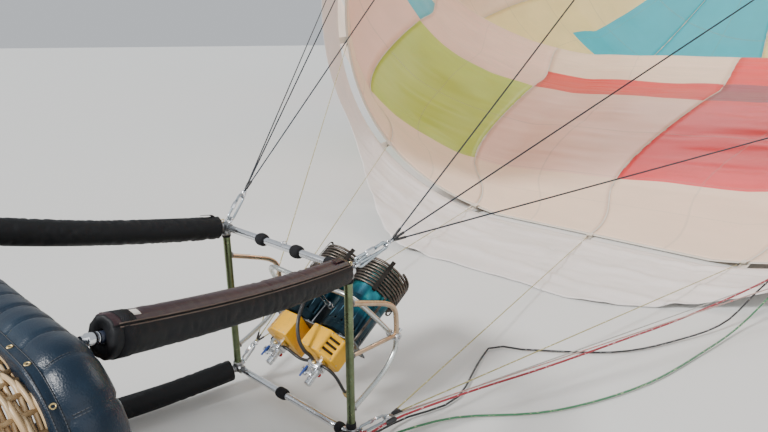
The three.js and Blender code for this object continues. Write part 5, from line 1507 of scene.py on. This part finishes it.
for name, (_, ring, start) in CORNER_PLACES.items():
    way, across = unit(np.array(CORNER_WAYS[name]))
    start = np.array(at(*start))
    parts = [closed_bar("ring", ring_path(at(*ring), way, across, 0.014), np.cross(way, across), 0.004, 12,
                        chrome)]
    for tape in TAPES[name]:
        end = wire_ends[tape]
        long = np.linalg.norm(end - start)
        run = (end - start) / long
        finish = stranded if name.endswith("high") else tracer_cord if tape == 2 else yellow_cord
        path = start + (end - start) * np.linspace(0, 1, 40)[:, None]
        parts.append(sweep("wire", path, WIRE_R, 10, finish))
        for from_end, size in ((0.016, 0.045), (long - 0.06, 0.04)):
            stops = (0, 0.002, 0.004, size - 0.004, size - 0.002, size)
            crimp = [start + run * (from_end + stop) for stop in stops]
            parts.append(sweep("crimp", crimp, CRIMP_RADII, 14, black_knob))
        lean = np.cross(run, np.cross(run, across))
        eye = ring_path(start + run * 0.006, run, across - run * (across @ run), 0.0085, 20)
        parts.append(closed_bar("thimble", eye, lean, 0.0026, 8, cast_steel))
    wire_piece = one_piece("rigged_wires_" + name, parts)
    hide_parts("flying_wires_" + name)

# Small rigging: one more taut white line from the near low ring to the mouth, and black clips that
# gather the lines beside it
white_end = surface(LOOP_ROW, 1.45) - outward(LOOP_ROW, 1.45) * 0.012
white_start = np.array(at(*CORNER_PLACES["near_low"][1])) + np.array([0.018, 0.008, 0.006])
run = white_end - white_start
white_line = sweep("white_line", white_start + run * np.linspace(0, 1, 60)[:, None] * 0.999, WIRE_R, 10,
                   white_cord)
clips = [wound(*ends, *sizes, black_knob) for ends, sizes in [
    (((425, 192, 107.5), (437, 236, 110)), (3, 12, 21)), (((458, 118, 121), (474, 164, 131)), (5.4, 12, 22)),
    (((437, 128, 40), (446, 164, 33)), (5.4, 11, 23))]]
one_piece("line_clips", clips)

# Base band: leather folded round the foot of the wicker and stitched twice, to guard it on landing
BAND = [(-0.0, -2030), (-0.0, -1964), (-1.6, -1962), (-33, -1962.2), (-72, -1962), (-74, -1964),
        (-74, -2030), (-72, -2032), (-33, -2032), (-1.6, -2032)]
places, way, walked, _ = rim_path(0, 420)
swelling = 1.2 * slack(np.arange(420)[:, None] * 24.0, np.arange(len(BAND))[None] * 0.4, 70, 2, 81) - 1.4
rows = np.array(BAND)
inset = rows[None, :, 0] + np.where(np.abs(rows[None, :, 0]) < 2, swelling, 0)
spots = np.stack(np.broadcast_arrays(walked[:, None], walked_of(rows)[None] / 1000), -1)
band_hide = faces_out(from_grid("band_hide", round_basket(places, way, inset, rows[:, 1]), spots,
                                material=navy_hide))
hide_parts("basket_base_band")
rings_of_thread = []
for y in (-1970, -2024):
    line = [at(x - 0.4 * way_x, y, z - 0.4 * way_z) for (x, z), (way_x, way_z) in zip(places[::3], way[::3])]
    rings_of_thread.append(closed_bar("thread", line, (0, 1, 0), THREAD_R, 6, thread))
one_piece("band_stitches", rings_of_thread)

# Basket floor: varnished plywood inside the base band, bolted to three ash runners with chamfered
# ends on which the basket stands when it is upright.
wood_group, take, give = socket_group("sawn_wood", {"Scale": 1.0}, ["Grain", "Rings"])
stretched = mapped(wood_group, take["Vector"], (2.0, 40, 40))
feed(wood_group, give["Grain"], noise(wood_group, stretched, take["Scale"], 5.0, Distortion=0.4))
rings = node(wood_group, "TexWave", {"bands_direction": "Z"}, Vector=stretched, Scale=0.5, Distortion=7.0,
             Detail=3.0)
feed(wood_group, give["Rings"], rings.outputs[1])


def timber(name, light, dark, rough):
    """Varnished wood with rings and grain along x."""
    made, tree, shader = finish_of(name, Coat_Weight=0.3, Coat_Roughness=0.3)
    sawn = node(tree, "Group", {"node_tree": wood_group}, Vector=place_of(tree)).outputs
    tone = blended(tree, sawn["Rings"], dark, light)
    tone = blended(tree, times(tree, sawn["Grain"], 0.6), tone, [c * 0.6 for c in dark])
    dress(tree, shader, tone, (sawn["Grain"], rough, rough + 0.25), (0.3, 0.001, sawn["Grain"]))
    return made


plywood = timber("plywood", (0.56, 0.38, 0.2), (0.38, 0.23, 0.11), 0.3)
ash = timber("ash", (0.66, 0.5, 0.31), (0.48, 0.33, 0.18), 0.42)
outline = rim_path(75, 120)[0]
mesh = bpy.data.meshes.new("board")
mesh.from_pydata([at(x, -2032, z) for x, z in outline], [], [tuple(range(120))])
board = bpy.data.objects.new("board", mesh)
scene.collection.objects.link(board)
pick(board)
bpy.ops.object.mode_set(mode="EDIT")
bpy.ops.mesh.select_all(action="SELECT")
bpy.ops.mesh.extrude_region_move(TRANSFORM_OT_translate={"value": (0, 0.024, 0)})
bpy.ops.mesh.select_all(action="SELECT")
bpy.ops.mesh.normals_make_consistent(inside=False)
bpy.ops.object.mode_set(mode="OBJECT")
board.select_set(False)
mesh.materials.append(plywood)
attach(board, "base")
drawing = Matrix.Translation(zero)
parts = [board]
coach_bolt, nut = [(0, 0), (9, 0), (8, 2.5), (5, 4), (0, 4.6)], [(0, 0), (8, 0), (8, 5), (0, 5)]
for z in (HALF_Z - 300, HALF_Z, HALF_Z + 300):
    parts.append(machined("runner", (-660, 660), (-2074, -2032.3), (z - 40, z + 40), 12, drawing, ash,
                          "base", 3))
    for x in (-560, -280, 0, 280, 560):
        parts.append(spun("coach_bolt", coach_bolt, at(x, -2008, z), (0, 1, 0), cast_steel, 16))
        parts.append(spun("nut", nut, at(x, -2073, z), (0, -1, 0), cast_steel, 6))
floor_piece = one_piece("boarded_floor", parts)
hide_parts("basket_floor")

# Fuel cylinders: drawn aluminium with welded domes, a shroud ring with hand holes round the valve,
# and two webbing belts that hold each in its corner.
alloy = metal("drawn_alloy", (0.62, 0.63, 0.65), 0.3, 0.6, (0.4, 0.4, 0.41), 0.6)
body_profile = [(0, 0), (118, 0), (132, 4), (146, 18), (150, 34), (150, 330), (151.5, 334), (151.5, 340),
                (150, 344), (150, 640), (148, 668), (138, 694), (118, 716), (96, 726), (30, 736), (0, 738)]
takeoff = [(0, 736), (26, 736), (28, 742), (28, 756), (20, 760), (20, 796), (16, 800), (16, 810), (0, 810)]
wheel = [(0, 20), (9, 20), (10, 30), (26, 31), (28, 34), (28, 42), (26, 44), (0, 44)]
shroud_profile = [(104, 722), (105, 740), (105, 824), (103, 830), (99, 830), (98, 824), (98, 722), (104, 722)]
for name, side in SIDES:
    foot = at(side * 555.7, -2007.7, 224.3)
    shroud = spun("shroud", shroud_profile, foot, (0, 1, 0), alloy, 48)
    openings = []
    for turn in (90, 210, 330):
        out = Vector((math.cos(math.radians(turn)), 0, math.sin(math.radians(turn))))
        openings.append(spun("opening", [(0, 80), (26, 80), (26, 120), (0, 120)],
                             foot + Vector((0, 0.776, 0)), out, alloy, 20))
    shroud = cut_out(shroud, openings)
    parts = [spun("body", body_profile, foot, (0, 1, 0), alloy, 64), shroud]
    parts.append(spun("takeoff", takeoff, foot, (0, 1, 0), brass, 28))
    parts.append(spun("wheel", wheel, foot + Vector((0, 0.778, 0)), (-side, 0, 0), black_knob, 24))
    for height in (160, 520):
        spokes = np.stack([np.cos(circle(48)), 0 * circle(48), np.sin(circle(48))], 1)
        grid = np.array([np.array(foot + Vector((0, height / 1000 + dy, 0))) + spokes * reach for dy,
                         reach in ((-0.022, 0.1502), (-0.022, 0.1528), (0.022, 0.1528), (0.022, 0.1502))])
        parts.append(faces_out(from_grid("belt", grid, material=black_webbing)))
        facing = Matrix.Translation(foot) @ Matrix.Rotation(math.radians(side * 35), 4, "Y")
        parts.append(machined("buckle", (-26, 26), (height - 26, height + 26), (151.5, 156), 1.5, facing,
                              chrome, "base"))
    cylinder_piece = one_piece("drawn_cylinder_" + name, parts)
    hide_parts("fuel_cylinder_" + name)

# Vent panel: a disc of the same nylon that the gas presses up against the gores' inner edge. The
# red line pulls it down toward the mouth, so it slides by itself.
vent_rows = WIDEST + CROWN * np.sqrt(1 - (np.linspace(VENT_R + 250, 90, 26) / BALL_R) ** 2)
a, u = np.meshgrid(vent_rows, np.linspace(0, GORES, 193)[:-1], indexing="ij")
gathers = -12.5 - 9 * np.abs(slack(a, u, 320, 2, 91)) - 5 * np.abs(np.sin(u * 12))
vent_cloth = cloth_mesh("vent_cloth", a, u, gathers, 0.003, None, True)
vent_cloth.data.materials.append(nylon(
    "nylon_vent", (0.84, 0.77, 0.60), crease=6.0, stretch=1.0, strength=0.3, middle=0.0, panel=9.0))
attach(vent_cloth, "vent_valve")
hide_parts("vent_valve_panel")
walk = np.linalg.norm(np.diff(surface(vent_rows, 0.5 + 0 * vent_rows), axis=0), axis=1)

# Crown ring: a forged alloy ring at the top with a strong tape from each gore seam, over the vent
crown_rows = WIDEST + CROWN * np.sqrt(1 - (np.linspace(VENT_R + 250, 150, 24) / BALL_R) ** 2)
crown_turns = np.linspace(0, GORES, 49)[:-1]
crown_a = crown_rows[-1] + 0 * crown_turns
ring_line = surface(crown_a, crown_turns) + outward(crown_a, crown_turns) * 0.003
crown_way = outward(crown_rows[-1], np.array(0.0)) + outward(crown_rows[-1], np.array(6.0))
parts = [faces_out(closed_bar("forged_ring", ring_line, crown_way, 0.009, 14, alloy))]
for tape in range(GORES):
    places, ups = surface(crown_rows, tape), outward(crown_rows, tape)
    parts.append(ribbon("crown_tape", places + ups * 0.003, ups, 0.025, 0.002, webbing))
crown_piece = one_piece("crown_rigging", parts)
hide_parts("crown_ring")

# Feed coupling: the machined fitting keeps its turned shape and takes the handled brass
for slot in bpy.data.objects["hose_coupling"].material_slots:
    slot.material = brass
